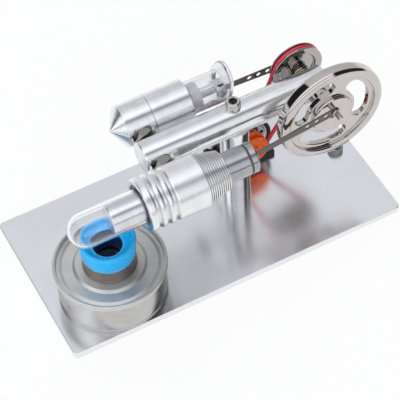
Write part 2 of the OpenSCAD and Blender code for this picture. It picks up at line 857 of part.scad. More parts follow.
module flywheel() {
    r = fly_d / 2;
    web_y0 = fly_y0 + fly_web_depth;
    web_y1 = web_y0 + fly_web_t;
    rim_r = r - fly_rim;
    hub_r = fly_hub_d / 2;
    boss_y1 = -(bush_out_y + side_gap);
    bore_r = axle_d / 2 + seat_fit;
    window_mid_r = (hub_r + rim_r) / 2 - 0.05 * fly_rim;
    color("lightgray")
        difference() {
            turned_y([[bore_r, fly_y0], [hub_r, fly_y0], [hub_r, web_y0], [rim_r, web_y0], [rim_r, fly_y0],
                [r - fly_chamfer, fly_y0], [r, fly_y0 + fly_chamfer], [r, fly_y1 - fly_chamfer],
                [r - fly_chamfer, fly_y1], [rim_r, fly_y1], [rim_r, web_y1], [hub_boss_d / 2, web_y1],
                [hub_boss_d / 2, boss_y1], [bore_r, boss_y1]], crank_x, axis_z);
            translate([crank_x, web_y0 - over, axis_z])
                rotate([-90, 0, 0])
                    linear_extrude(fly_web_t + 2 * over)
                        for (i = [0 : fly_windows - 1])
                            rotate(-fly_window_turn - i * 360 / fly_windows)
                                window_outline(window_mid_r);
            bar_y(crank_pin_d + 2 * seat_fit, fly_y0 - over, front_pin_y1, front_pin_x, front_pin_z);
            bar_z(grub_d + 2 * seat_fit, axis_z, axis_z + hub_boss_d, crank_x, fly_grub_y);
        }
}

module flywheel_grub_screw() {
    color("dimgray")
        bar_z(grub_d, axis_z + axle_d / 2 + seat_fit, axis_z + hub_boss_d / 2, crank_x, fly_grub_y);
}

// A wheel with a belt groove at mid, from y0 to y1
module grooved_wheel(d, y0, mid, y1, bore_d, x, z) {
    r = d / 2;
    root = r - belt_sink - belt_d - belt_gap;
    turned_y([[bore_d / 2, y0], [r, y0], [r, mid - groove_half - belt_gap], [root, mid - groove_half],
        [root, mid + groove_half], [r, mid + groove_half + belt_gap], [r, y1], [bore_d / 2, y1]], x, z);
}

module belt_wheel() {
    boss_y0 = bush_out_y + side_gap;
    bore_d = axle_d + 2 * seat_fit;
    color("lightgray")
        difference() {
            union() {
                grooved_wheel(belt_wheel_d, wheel_y0, belt_y, wheel_y1, bore_d, crank_x, axis_z);
                bar_y(wheel_hub_d, boss_y0, wheel_y0 + over, crank_x, axis_z);
            }
            difference() {
                bar_y(belt_wheel_d - 2 * wheel_rim, wheel_y0 - over, wheel_y0 + wheel_recess, crank_x, axis_z);
                bar_y(wheel_hub_d, wheel_y0 - 2 * over, wheel_y1, crank_x, axis_z);
            }
            bar_y(bore_d, boss_y0 - over, wheel_y1 + over, crank_x, axis_z);
            bar_y(crank_pin_d + 2 * seat_fit, rear_pin_y0, wheel_y1 + over, rear_pin_x, rear_pin_z);
            bar_z(wheel_grub_d + 2 * seat_fit, axis_z, axis_z + wheel_hub_d, crank_x, wheel_grub_y);
        }
}

module belt_wheel_grub_screw() {
    color("dimgray")
        bar_z(wheel_grub_d, axis_z + axle_d / 2 + seat_fit, axis_z + wheel_hub_d / 2, crank_x, wheel_grub_y);
}

module front_crank_pin() {
    color("gray")
        bar_y(crank_pin_d, fly_y0 - front_stub, front_pin_y1, front_pin_x, front_pin_z);
}

module rear_crank_pin() {
    color("gray")
        bar_y(crank_pin_d, rear_pin_y0, wheel_y1 + rear_stub, rear_pin_x, rear_pin_z);
}

// Belt

// A corner of the belt's ring i, at angle t round its section
function belt_corner(i, t) =
    let (on_wheel = i <= belt_wheel_steps, a = belt_turns[i],
        r = (on_wheel ? wheel_belt_r : pulley_belt_r) + belt_d / 2 * cos(t))
    [(on_wheel ? crank_x : motor_x) + r * cos(a), (on_wheel ? belt_y : pulley_mid_y) + belt_d / 2 * sin(t),
        (on_wheel ? axis_z : motor_z) + r * sin(a)];

module drive_belt() {
    rings = len(belt_turns);
    function at(i, j) = (i % rings) * belt_sides + j % belt_sides;
    color("crimson")
        polyhedron(
            points = [for (i = [0 : rings - 1], j = [0 : belt_sides - 1]) belt_corner(i, j * 360 / belt_sides)],
            faces = [for (i = [0 : rings - 1], j = [0 : belt_sides - 1], half = [0, 1])
                half == 0 ? [at(i, j), at(i + 1, j), at(i + 1, j + 1)]
                    : [at(i, j), at(i + 1, j + 1), at(i, j + 1)]]);
}

// Generator

module motor_can() {
    color("silver")
        difference() {
            bar_y(motor_d, motor_y, motor_y + motor_l, motor_x, motor_z);
            bar_y(motor_d - 2 * motor_wall, motor_y + motor_wall, motor_y + motor_l + over, motor_x, motor_z);
            bar_y(motor_bush_d + 2 * seat_fit, motor_y - over, motor_y + motor_l, motor_x, motor_z);
            for (a = [motor_hole_turn, motor_hole_turn + 180])
                bar_y(motor_hole_d, motor_y - over, motor_y + motor_l, motor_x + motor_hole_r * cos(a),
                    motor_z + motor_hole_r * sin(a));
        }
}

module motor_bearing() {
    color("goldenrod")
        difference() {
            bar_y(motor_bush_d, motor_y - motor_bush_out, motor_y + motor_wall, motor_x, motor_z);
            bar_y(motor_shaft_d + 2 * run_fit, motor_y - motor_l, motor_y + motor_l, motor_x, motor_z);
        }
}

module motor_magnets() {
    d = motor_d - 2 * motor_wall - 2 * seat_fit;
    y0 = motor_y + 2 * motor_wall;
    color("dimgray")
        difference() {
            bar_y(d, y0, motor_y + motor_l - motor_wall, motor_x, motor_z);
            bar_y(d - 2 * magnet_t, y0 - over, motor_y + motor_l + over, motor_x, motor_z);
        }
}

module motor_end_cap() {
    y0 = motor_y + motor_l;
    color([0.12, 0.12, 0.12])
        difference() {
            bar_y(motor_d, y0, y0 + motor_cap_t, motor_x, motor_z);
            bar_y(motor_shaft_d + 2 * run_fit, y0 - over, y0 + motor_cap_t / 2, motor_x, motor_z);
        }
}

module motor_terminals() {
    y0 = motor_y + motor_l + motor_cap_t;
    color("goldenrod")
        for (s = [-1, 1])
            translate([motor_x + s * motor_d / 4 - terminal_w / 2, y0, motor_z - terminal_t / 2])
                cube([terminal_w, terminal_l, terminal_t]);
}

module motor_shaft() {
    color("lightgray")
        bar_y(motor_shaft_d, pulley_y0 + pulley_recess / 2, motor_y + motor_l + motor_cap_t / 4, motor_x, motor_z);
}

module motor_armature() {
    y0 = motor_y + motor_l / 2 - armature_l / 2;
    color("peru")
        difference() {
            bar_y(armature_d, y0, y0 + armature_l, motor_x, motor_z);
            bar_y(motor_shaft_d + 2 * seat_fit, y0 - over, y0 + armature_l + over, motor_x, motor_z);
        }
}

module motor_pulley() {
    color("orangered")
        difference() {
            grooved_wheel(pulley_d, pulley_y0, pulley_mid_y, pulley_y1, motor_shaft_d + 2 * seat_fit,
                motor_x, motor_z);
            difference() {
                bar_y(pulley_recess_d, pulley_y0 - over, pulley_y0 + pulley_recess, motor_x, motor_z);
                bar_y(pulley_hub_d, pulley_y0 - 2 * over, pulley_y1, motor_x, motor_z);
            }
        }
}

module motor_holder() {
    ring_d = motor_d + 2 * seat_fit + 2 * holder_wall;
    ring_y0 = motor_y - 0.3 * holder_wall;
    cheek_w = 0.7 * ring_d;
    color([0.1, 0.1, 0.1])
        difference() {
            union() {
                translate([holder_x0, holder_y0, plate_t])
                    cube([holder_left + holder_right, holder_depth, holder_foot_t]);
                bar_y(ring_d, ring_y0, ring_y0 + holder_ring_w, motor_x, motor_z);
                translate([motor_x - cheek_w / 2, ring_y0, plate_t])
                    cube([cheek_w, holder_ring_w, motor_z - plate_t - motor_d / 4]);
            }
            bar_y(motor_d + 2 * seat_fit, ring_y0 - over, holder_y0 + holder_depth + over, motor_x, motor_z);
            for (y = holder_screw_ys)
                bar_z(holder_screw_d + 2 * seat_fit, 0, plate_t + holder_foot_t + over, holder_screw_x, y);
        }
}

module holder_screws() {
    top = plate_t + holder_foot_t;
    color("silver")
        for (y = holder_screw_ys)
            difference() {
                union() {
                    bar_z(holder_screw_head_d, top, top + holder_screw_head_h, holder_screw_x, y);
                    bar_z(holder_screw_d - 2 * seat_fit, plate_t / 4, top, holder_screw_x, y);
                }
                translate([holder_screw_x, y, top + holder_screw_head_h / 2])
                    cylinder(d = holder_screw_head_d / 2, h = holder_screw_head_h, $fn = 6);
            }
}

// Lamp

module lamp_socket() {
    color([0.12, 0.12, 0.12])
        difference() {
            bar_z(lamp_socket_d, plate_t, plate_t + lamp_socket_h, lamp_x, lamp_y);
            bar_z(lamp_d + 2 * seat_fit, plate_t + lamp_socket_h / 2, plate_t + lamp_socket_h + over, lamp_x, lamp_y);
        }
}

module lamp() {
    top = plate_t + lamp_socket_h;
    color([0.9, 0.9, 0.95])
        union() {
            bar_z(lamp_d, plate_t + lamp_socket_h / 2, top + lamp_dome_h, lamp_x, lamp_y);
            bar_z(lamp_flange_d, top, top + lamp_flange_t, lamp_x, lamp_y);
            translate([lamp_x, lamp_y, top + lamp_dome_h])
                sphere(d = lamp_d);
        }
}

// Displacer

module displacer_shell() {
    d = displacer_d;
    color("silver")
        difference() {
            bar_x(d, displacer_x0, displacer_x1, -front_y);
            bar_x(d - 2 * displacer_wall, displacer_x0 + displacer_wall, displacer_x1 + over, -front_y);
        }
}

module displacer_plug() {
    color("silver")
        difference() {
            bar_x(displacer_d - 2 * displacer_wall - 2 * seat_fit, displacer_x1 - displacer_plug_l,
                displacer_x1, -front_y);
            bar_x(displacer_rod_d + 2 * seat_fit, displacer_x1 - displacer_plug_l / 2,
                displacer_x1 + over, -front_y);
        }
}

module displacer_rod() {
    color("lightgray")
        bar_x(displacer_rod_d, displacer_x1 - displacer_plug_l / 2, clevis_x0 + clevis_l / 4, -front_y);
}

module displacer_clevis() {
    slot_x = front_wrist_x - strip_h / 2 - side_gap;
    color("silver")
        difference() {
            bar_x(clevis_d, clevis_x0, clevis_x1, -front_y);
            bar_x(displacer_rod_d + 2 * seat_fit, clevis_x0 - over, clevis_x0 + clevis_l / 4, -front_y);
            translate([slot_x, -front_y - clevis_slot / 2, axis_z - clevis_d])
                cube([clevis_d, clevis_slot, 2 * clevis_d]);
            bar_y(wrist_d + 2 * seat_fit, -front_y - clevis_d, -front_y + clevis_d, front_wrist_x, axis_z);
        }
}

module displacer_wrist_pin() {
    color("gray")
        bar_y(wrist_d, -front_y - 0.4 * clevis_d, -front_y + 0.4 * clevis_d, front_wrist_x, axis_z);
}

// A perforated strip of length l that runs along X from its small end at the origin
module strip(l, first_hole, small_d, big_d) {
    r1 = strip_small_h / 2;
    r2 = strip_h / 2;
    a = asin((r2 - r1) / l);
    translate([0, strip_t / 2, 0])
        rotate([90, 0, 0])
            linear_extrude(strip_t)
                difference() {
                    union() {
                        polygon([[-r1 * sin(a), -r1 * cos(a)], [l - r2 * sin(a), -r2 * cos(a)],
                            [l - r2 * sin(a), r2 * cos(a)], [-r1 * sin(a), r1 * cos(a)]]);
                        circle(r = r1);
                        translate([l, 0])
                            circle(r = r2);
                    }
                    circle(d = small_d);
                    for (i = [0 : strip_holes - 1])
                        translate([l - first_hole - i * strip_pitch, 0])
                            circle(d = strip_hole_d);
                    translate([l, 0])
                        circle(d = big_d);
                }
}

module displacer_conrod() {
    color([0.3, 0.28, 0.27])
        translate([front_wrist_x, -front_y, axis_z])
            rotate([0, -front_rod_tilt, 0])
                strip(front_rod_l, front_first_hole, wrist_d + 2 * run_fit, crank_pin_d);
}

module displacer_rod_bush() {
    y1 = -front_y - strip_t / 2;
    color("silver")
        union() {
            bar_y(crank_pin_d - 2 * seat_fit, y1 - front_bush_l, -front_y + strip_t / 2, front_pin_x, front_pin_z);
            bar_y(1.3 * crank_pin_d, y1 - strip_t, y1, front_pin_x, front_pin_z);
        }
}

// Power piston

module power_piston() {
    d = 2 * (barrel_bore_r - run_fit);
    color("darkgray")
        difference() {
            bar_x(d, piston_x0, piston_x1, rear_y);
            bar_x(d - 2 * piston_wall, piston_x0 + piston_floor, piston_x1 + over, rear_y);
        }
}

module piston_lug() {
    color("silver")
        difference() {
            union() {
                bar_x(lug_rod_d, piston_x0 + piston_floor, rear_wrist_x - lug_eye_l / 2, rear_y);
                translate([rear_wrist_x - lug_root, lug_slot_y0 - lug_cheek_t, axis_z - lug_eye_h / 2])
                    cube([lug_root + lug_past_pin, lug_y0 - lug_slot_y0 + lug_cheek_t + lug_eye_t, lug_eye_h]);
            }
            translate([rear_wrist_x - strip_h / 2 - side_gap, lug_slot_y0, axis_z - lug_eye_h])
                cube([lug_eye_l, lug_y0 - lug_slot_y0, 2 * lug_eye_h]);
            bar_y(wrist_d + 2 * seat_fit, 0, lug_y0 + 0.8 * lug_eye_t, rear_wrist_x, axis_z);
        }
}

module piston_wrist_screw() {
    head_y1 = lug_slot_y0 - lug_cheek_t;
    color("silver")
        difference() {
            union() {
                bar_y(wrist_d, head_y1, lug_y0 + 0.8 * lug_eye_t, rear_wrist_x, axis_z);
                bar_y(wrist_head_d, head_y1 - wrist_head_t, head_y1, rear_wrist_x, axis_z);
            }
            translate([rear_wrist_x - wrist_head_d, head_y1 - wrist_head_t - over, axis_z - wrist_d / 6])
                cube([2 * wrist_head_d, over + wrist_head_t / 2, wrist_d / 3]);
        }
}

module power_conrod() {
    color([0.3, 0.28, 0.27])
        translate([rear_wrist_x, rear_rod_y, axis_z])
            rotate([0, -rear_rod_tilt, 0])
                strip(rear_rod_l, rear_first_hole, wrist_d + 2 * run_fit, crank_pin_d);
}

module power_rod_bush() {
    y0 = rear_rod_y + strip_t / 2;
    color("silver")
        union() {
            bar_y(crank_pin_d - 2 * seat_fit, rear_rod_y - strip_t / 2, y0 + rear_bush_l, rear_pin_x, rear_pin_z);
            bar_y(1.3 * crank_pin_d, y0, y0 + strip_t, rear_pin_x, rear_pin_z);
        }
}

// Burner

module fuel_can() {
    color("lightgray")
        turned_z([[0, plate_t], [can_r, plate_t], [can_r, seam_z], [can_r - sheet_t, seam_z],
            [can_r - sheet_t, plate_t + sheet_t], [0, plate_t + sheet_t]], -burner_x, -burner_y);
}

module can_lid() {
    r = can_d / 2;
    seam_in = r - seam_w;
    hole_r = neck_d / 2 - neck_wall;
    trough = seam_in - seam_w;
    shoulder = trough - seam_w;
    step_r = 0.63 * r;
    floor_z = seam_z + sheet_t;
    color("silver")
        turned_z([[r, seam_z], [r, can_top], [seam_in, can_top], [seam_in, floor_z], [trough, floor_z],
            [shoulder, panel_z], [step_r, panel_z], [step_r - sheet_t, collar_z], [hole_r, collar_z],
            [hole_r, collar_z - sheet_t], [step_r - 2 * sheet_t, collar_z - sheet_t],
            [step_r - sheet_t, panel_z - sheet_t], [shoulder - sheet_t, panel_z - sheet_t],
            [trough, seam_z]], -burner_x, -burner_y);
}

module burner_neck() {
    r = neck_d / 2;
    spout_r = spout_d / 2;
    hole_r = wick_d / 2 + seat_fit;
    bottom = collar_z + neck_wall;
    color([0.45, 0.43, 0.4])
        turned_z([[hole_r, collar_z], [r, collar_z], [r, neck_top_z], [spout_r, neck_top_z],
            [spout_r, neck_top_z + spout_h], [spout_r - neck_wall, neck_top_z + spout_h],
            [spout_r - neck_wall, bottom], [hole_r, bottom]], -burner_x, -burner_y);
}

module wick() {
    color("ivory")
        bar_z(wick_d, wick_bottom, wick_top, -burner_x, -burner_y);
}

module burner_cap() {
    r = cap_d / 2;
    foot = cap_foot_d / 2;
    inner = spout_d / 2 + side_gap;
    top = neck_top_z + cap_h;
    dish = top - cap_dish;
    roof = neck_top_z + spout_h + side_gap;
    hole_r = cap_hole_d / 2;
    tube_r = hole_r + cap_tube_wall;
    tube_z = collar_z + neck_wall + cap_tube_gap;
    color("deepskyblue")
        turned_z([[inner, neck_top_z], [foot, neck_top_z], [r, top - cap_lip / 2], [r - cap_lip / 2, top],
            [r - cap_lip, top], [r - cap_wall, top - cap_lip], [hole_r, dish], [hole_r, tube_z],
            [tube_r, tube_z], [tube_r, roof], [inner, roof]], -burner_x, -burner_y);
}

base_plate();
support_column();
column_base_screw();
beam_screw();
main_beam();
axle_bush_front();
axle_bush_rear();
cooler_body();
hot_tube_seal();
glass_hot_tube();
guide_tube();
guide_seal_ring();
guide_cap();
gland_bush();
cross_tube();
spacer_nut_front();
spacer_nut_rear();
cone_cap();
cylinder_sleeve();
glass_barrel();
barrel_seal();
motor_can();
motor_end_cap();
motor_magnets();
motor_bearing();
motor_terminals();
motor_holder();
holder_screws();
drive_belt();
lamp_socket();
lamp();
crank_axle();
flywheel();
flywheel_grub_screw();
belt_wheel();
belt_wheel_grub_screw();
front_crank_pin();
rear_crank_pin();
motor_shaft();
motor_pulley();
motor_armature();
displacer_shell();
displacer_plug();
displacer_rod();
displacer_clevis();
displacer_wrist_pin();
displacer_conrod();
displacer_rod_bush();
power_piston();
piston_lug();
piston_wrist_screw();
power_conrod();
power_rod_bush();
fuel_can();
can_lid();
burner_neck();
wick();
burner_cap();
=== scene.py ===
"""A demonstration hot air engine: finishes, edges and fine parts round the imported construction.

Modelling values are in millimetres and are scaled to metres when a mesh is made.
"""

import json
import math

import bmesh
import bpy
from mathutils import Matrix, Vector

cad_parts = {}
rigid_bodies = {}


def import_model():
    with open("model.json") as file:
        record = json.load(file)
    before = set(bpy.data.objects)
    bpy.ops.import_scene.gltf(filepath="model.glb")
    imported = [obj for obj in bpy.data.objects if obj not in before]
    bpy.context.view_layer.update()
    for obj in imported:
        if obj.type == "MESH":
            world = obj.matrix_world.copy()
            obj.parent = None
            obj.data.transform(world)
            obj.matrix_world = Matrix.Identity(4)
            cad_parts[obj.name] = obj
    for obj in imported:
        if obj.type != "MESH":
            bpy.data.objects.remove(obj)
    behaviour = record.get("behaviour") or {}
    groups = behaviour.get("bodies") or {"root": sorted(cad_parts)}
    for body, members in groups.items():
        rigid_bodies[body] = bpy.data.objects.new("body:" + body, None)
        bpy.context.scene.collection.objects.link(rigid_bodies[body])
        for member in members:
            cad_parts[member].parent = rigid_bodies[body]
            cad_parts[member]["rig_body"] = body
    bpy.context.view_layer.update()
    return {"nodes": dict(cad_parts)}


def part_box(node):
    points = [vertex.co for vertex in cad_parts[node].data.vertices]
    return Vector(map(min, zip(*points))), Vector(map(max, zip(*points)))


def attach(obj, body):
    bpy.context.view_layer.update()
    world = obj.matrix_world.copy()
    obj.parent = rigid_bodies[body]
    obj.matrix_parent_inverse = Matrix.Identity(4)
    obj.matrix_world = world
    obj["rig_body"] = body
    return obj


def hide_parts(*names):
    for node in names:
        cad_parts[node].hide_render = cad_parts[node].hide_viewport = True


MM = 0.001
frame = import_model()


def span(node):
    """The lowest and highest corners of a node, in millimetres."""
    low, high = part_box(node)
    return low / MM, high / MM


def middle(node):
    low, high = span(node)
    return (low + high) / 2


def half(node):
    low, high = span(node)
    return (high - low) / 2


def round_of(node, axis):
    """A round node's radius, its low and high end along its axis, and the axis's two fixed places."""
    low, high = span(node)
    along = "XYZ".index(axis)
    across = 2 if axis == "X" else 0
    centre = [place for i, place in enumerate((low + high) / 2) if i != along]
    return (high - low)[across] / 2, low[along], high[along], centre


# Camera

CAMERA_AZIMUTH = -24.92
CAMERA_ELEVATION = 51.86
CAMERA_ROLL = -3.84
CAMERA_DISTANCE = 730.35
CAMERA_RIGHT = 0.35
CAMERA_UP = 8.14
CAMERA_LENS = 157.5
CAMERA_FAR = 10000


def make_camera():
    azimuth, elevation, roll = (math.radians(a) for a in (CAMERA_AZIMUTH, CAMERA_ELEVATION, CAMERA_ROLL))
    back = Vector((math.sin(azimuth) * math.cos(elevation), -math.cos(azimuth) * math.cos(elevation),
                   math.sin(elevation)))
    level = Vector((0, 0, 1)).cross(back).normalized()
    steep = back.cross(level)
    right = math.cos(roll) * level + math.sin(roll) * steep
    up = math.cos(roll) * steep - math.sin(roll) * level
    place = back * CAMERA_DISTANCE + right * CAMERA_RIGHT + up * CAMERA_UP
    camera = bpy.data.objects.new("camera", bpy.data.cameras.new("camera"))
    camera.data.lens = CAMERA_LENS
    camera.data.clip_end = CAMERA_FAR * MM
    camera.matrix_world = Matrix.Translation(place * MM) @ Matrix((right, up, back)).transposed().to_4x4()
    bpy.context.scene.collection.objects.link(camera)
    bpy.context.scene.camera = camera


# Node trees

def add(tree, kind, inputs=None, **settings):
    """A node with its settings and inputs; an input is a value or the socket that feeds it."""
    node = tree.nodes.new(kind)
    for name, value in settings.items():
        setattr(node, name, value)
    for name, value in (inputs or {}).items():
        if isinstance(value, bpy.types.NodeSocket):
            tree.links.new(value, node.inputs[name])
        else:
            node.inputs[name].default_value = value
    return node


def ramp(tree, factor, stops, smooth=True):
    """A colour ramp; each stop is a place and a grey or a colour."""
    node = add(tree, "ShaderNodeValToRGB", {0: factor})
    node.color_ramp.interpolation = "EASE" if smooth else "LINEAR"
    elements = node.color_ramp.elements
    while len(elements) < len(stops):
        elements.new(1)
    for element, (place, colour) in zip(elements, stops):
        element.position = place
        element.color = (*colour, 1) if hasattr(colour, "__len__") else (colour, colour, colour, 1)
    return node.outputs[0]


def maths(tree, operation, first, second=0.0, third=0.0):
    return add(tree, "ShaderNodeMath", {0: first, 1: second, 2: third}, operation=operation).outputs[0]


def mean(tree, first, second):
    return maths(tree, "MULTIPLY_ADD", first, 0.5, maths(tree, "MULTIPLY", second, 0.5))


def between(tree, value, low, high):
    """How far a value lies from low to high, from 0 to 1."""
    return add(tree, "ShaderNodeMapRange", {0: value, 1: low, 2: high}).outputs[0]


def mixed_colour(tree, factor, first, second, blend="MIX"):
    return add(tree, "ShaderNodeMix", {"Factor": factor, 6: first, 7: second}, data_type="RGBA",
               blend_type=blend).outputs[2]


finishes = {}


def finish_tree(name):
    """The empty tree of a new finish, which is then listed under its name."""
    finishes[name] = bpy.data.materials.new(name + "_finish")
    finishes[name].use_nodes = True
    tree = finishes[name].node_tree
    tree.nodes.clear()
    return tree


def end_tree(tree, output, shader):
    tree.links.new(shader.outputs[0], add(tree, output).inputs[0])


def place_of(tree, stretch=(1, 1, 1)):
    """The place on the object in millimetres, each way times its stretch."""
    coordinates = add(tree, "ShaderNodeTexCoord").outputs["Object"]
    scale = [s / MM for s in stretch]
    return add(tree, "ShaderNodeMapping", {"Vector": coordinates, "Scale": scale}).outputs[0]


def noise(tree, vector, scale, detail=3.0, roughness=0.55):
    return add(tree, "ShaderNodeTexNoise", {"Vector": vector, "Scale": scale, "Detail": detail,
                                            "Roughness": roughness}).outputs["Fac"]


def surface(tree, colour, rough, metallic, height, bump, bump_distance, **sockets):
    """The principled surface of a finish, with its bump."""
    bumped = add(tree, "ShaderNodeBump", {"Strength": bump, "Distance": bump_distance * MM, "Height": height})
    inputs = {"Base Color": colour, "Roughness": rough, "Metallic": metallic, "Normal": bumped.outputs[0]}
    inputs.update({name.replace("_", " "): value for name, value in sockets.items()})
    end_tree(tree, "ShaderNodeOutputMaterial", add(tree, "ShaderNodeBsdfPrincipled", inputs))


# Finishes

RING_STRETCH = 0.02
BRUSH_STRETCH = 0.012
ANISOTROPIC_TURN = 0.25
GLASS_IOR = 1.47
MIRROR_ROUGHNESS = 0.015


def darker(colour, share):
    return [c * share for c in colour]


def turned_metal(name, axis, colour, roughness=0.24, directional=0.75, wear=0.06, metallic=1.0):
    """Metal from a lathe: fine rings about the axis, a soft sheen along it and a few smudges."""
    tree = finish_tree(name)
    rings = noise(tree, place_of(tree, [1 if way == axis else RING_STRETCH for way in "XYZ"]), 3.2, 4, 0.7)
    smudges = noise(tree, place_of(tree), 0.16, 4)
    rough = maths(tree, "ADD", maths(tree, "MULTIPLY", rings, wear), maths(tree, "MULTIPLY", smudges, wear))
    rough = maths(tree, "ADD", rough, roughness - wear)
    tint = ramp(tree, mean(tree, rings, smudges), [(0.34, darker(colour, 0.86)), (0.62, colour)])
    tangent = add(tree, "ShaderNodeTangent", direction_type="RADIAL", axis=axis).outputs[0]
    surface(tree, tint, rough, metallic, rings, 0.16, 0.02, Anisotropic=directional,
            Anisotropic_Rotation=ANISOTROPIC_TURN, Tangent=tangent)


def plated_metal(name, colour, roughness=0.04):
    """Bright plating: a mirror with faint smears and a slight ripple."""
    tree = finish_tree(name)
    smears = noise(tree, place_of(tree, (1, 1, 0.5)), 0.35, 5, 0.65)
    waves = noise(tree, place_of(tree), 0.5, 2)
    rough = maths(tree, "MULTIPLY_ADD", smears, 0.07, roughness - 0.03)
    tint = ramp(tree, smears, [(0.3, darker(colour, 0.93)), (0.65, colour)])
    surface(tree, tint, maths(tree, "MAXIMUM", rough, MIRROR_ROUGHNESS), 1.0, waves, 0.05, 0.1)


def brushed_plate(name, colour):
    """Sheet metal brushed lengthwise, with soft reflections and a few marks."""
    tree = finish_tree(name)
    lines = noise(tree, place_of(tree, (BRUSH_STRETCH, 1, 1)), 2.6, 6, 0.75)
    clouds = noise(tree, place_of(tree, (0.5, 1, 1)), 0.05, 4)
    specks = noise(tree, place_of(tree), 1.1, 2)
    rough = maths(tree, "MULTIPLY_ADD", lines, 0.1, maths(tree, "MULTIPLY_ADD", clouds, 0.08, 0.1))
    tint = ramp(tree, mean(tree, lines, clouds), [(0.3, darker(colour, 0.92)), (0.7, colour)])
    marks = ramp(tree, specks, [(0.24, 0.72), (0.3, 1.0)])
    tint = mixed_colour(tree, 1.0, tint, marks, "MULTIPLY")
    tangent = add(tree, "ShaderNodeTangent", direction_type="UV_MAP", uv_map="brush").outputs[0]
    surface(tree, tint, rough, 1.0, lines, 0.1, 0.01, Anisotropic=0.6,
            Anisotropic_Rotation=ANISOTROPIC_TURN, Tangent=tangent)


def plain_metal(name, colour, roughness, mottle=0.12, scale=0.9):
    """Metal with no marked direction: mottled, with fine pits."""
    tree = finish_tree(name)
    patches = noise(tree, place_of(tree), scale, 5, 0.65)
    fine = noise(tree, place_of(tree), 7, 2)
    rough = maths(tree, "MULTIPLY_ADD", patches, mottle, roughness - mottle / 2)
    tint = ramp(tree, patches, [(0.3, darker(colour, 0.8)), (0.7, colour)])
    surface(tree, tint, rough, 1.0, fine, 0.12, 0.02)


def moulded_plastic(name, colour, roughness=0.3, grain=3.0, glow=0.0, shade=0.82):
    """Moulded plastic or rubber: a fine grain and slightly uneven colour."""
    tree = finish_tree(name)
    patches = noise(tree, place_of(tree), 0.3, 4)
    fine = noise(tree, place_of(tree), grain, 3)
    rough = maths(tree, "MULTIPLY_ADD", fine, 0.16, roughness - 0.08)
    tint = ramp(tree, patches, [(0.3, darker(colour, shade)), (0.7, colour)])
    surface(tree, tint, rough, 0.0, fine, 0.15, 0.03, Subsurface_Weight=glow, Subsurface_Scale=0.0015)


def clear_glass(name, tint=(0.985, 0.99, 1.0), wobble=0.06, haze=0.0):
    """Drawn glass: clear or a little hazy, with a slight draw along its length."""
    tree = finish_tree(name)
    draw = noise(tree, place_of(tree, (0.15, 1, 1)), 0.5, 2)
    film = noise(tree, place_of(tree), 0.25, 4)
    rough = maths(tree, "MULTIPLY_ADD", between(tree, film, 0.5, 0.9), 0.05, haze)
    surface(tree, (*tint, 1), rough, 0.0, draw, wobble, 0.05, IOR=GLASS_IOR, Transmission_Weight=1.0)


def ground_glass(name):
    """Ground glass: white and nearly opaque, with a fine matt grain."""
    tree = finish_tree(name)
    grain = noise(tree, place_of(tree), 6, 3)
    clouds = noise(tree, place_of(tree), 0.3, 3)
    tint = ramp(tree, clouds, [(0.3, (0.95, 0.955, 0.97)), (0.7, (0.98, 0.985, 1.0))])
    rough = maths(tree, "MULTIPLY_ADD", grain, 0.2, 0.3)
    surface(tree, tint, rough, 0.0, grain, 0.15, 0.02, IOR=GLASS_IOR, Transmission_Weight=0.05)


CHAR_START = 3.2
CHAR_FULL = 1.2


def woven_wick(name):
    """Plaited cotton, charred at its top end."""
    tree = finish_tree(name)
    place = place_of(tree)
    height = add(tree, "ShaderNodeSeparateXYZ", {0: place}).outputs[2]
    strands = add(tree, "ShaderNodeTexWave", {"Vector": place, "Scale": 0.9, "Distortion": 1.5},
                  bands_direction="DIAGONAL").outputs["Fac"]
    top = span("wick")[1].z
    ragged = maths(tree, "MULTIPLY_ADD", strands, 0.8, height)
    charred = between(tree, ragged, top - CHAR_START, top - CHAR_FULL)
    cotton = ramp(tree, strands, [(0.1, (0.5, 0.45, 0.36)), (0.8, (0.84, 0.8, 0.7))])
    tint = mixed_colour(tree, charred, cotton, (0.012, 0.018, 0.05, 1))
    surface(tree, tint, 0.9, 0.0, strands, 0.6, 0.2)


def wound_copper(name):
    """Enamelled wire, wound along the shaft."""
    tree = finish_tree(name)
    turns = add(tree, "ShaderNodeTexWave", {"Vector": place_of(tree), "Scale": 1.6}, bands_direction="X",
                wave_profile="SIN").outputs["Fac"]
    tint = ramp(tree, turns, [(0.1, (0.22, 0.07, 0.03)), (0.8, (0.62, 0.26, 0.1))])
    surface(tree, tint, 0.3, 0.8, turns, 0.7, 0.2)


ALUMINIUM = (0.85, 0.855, 0.865)


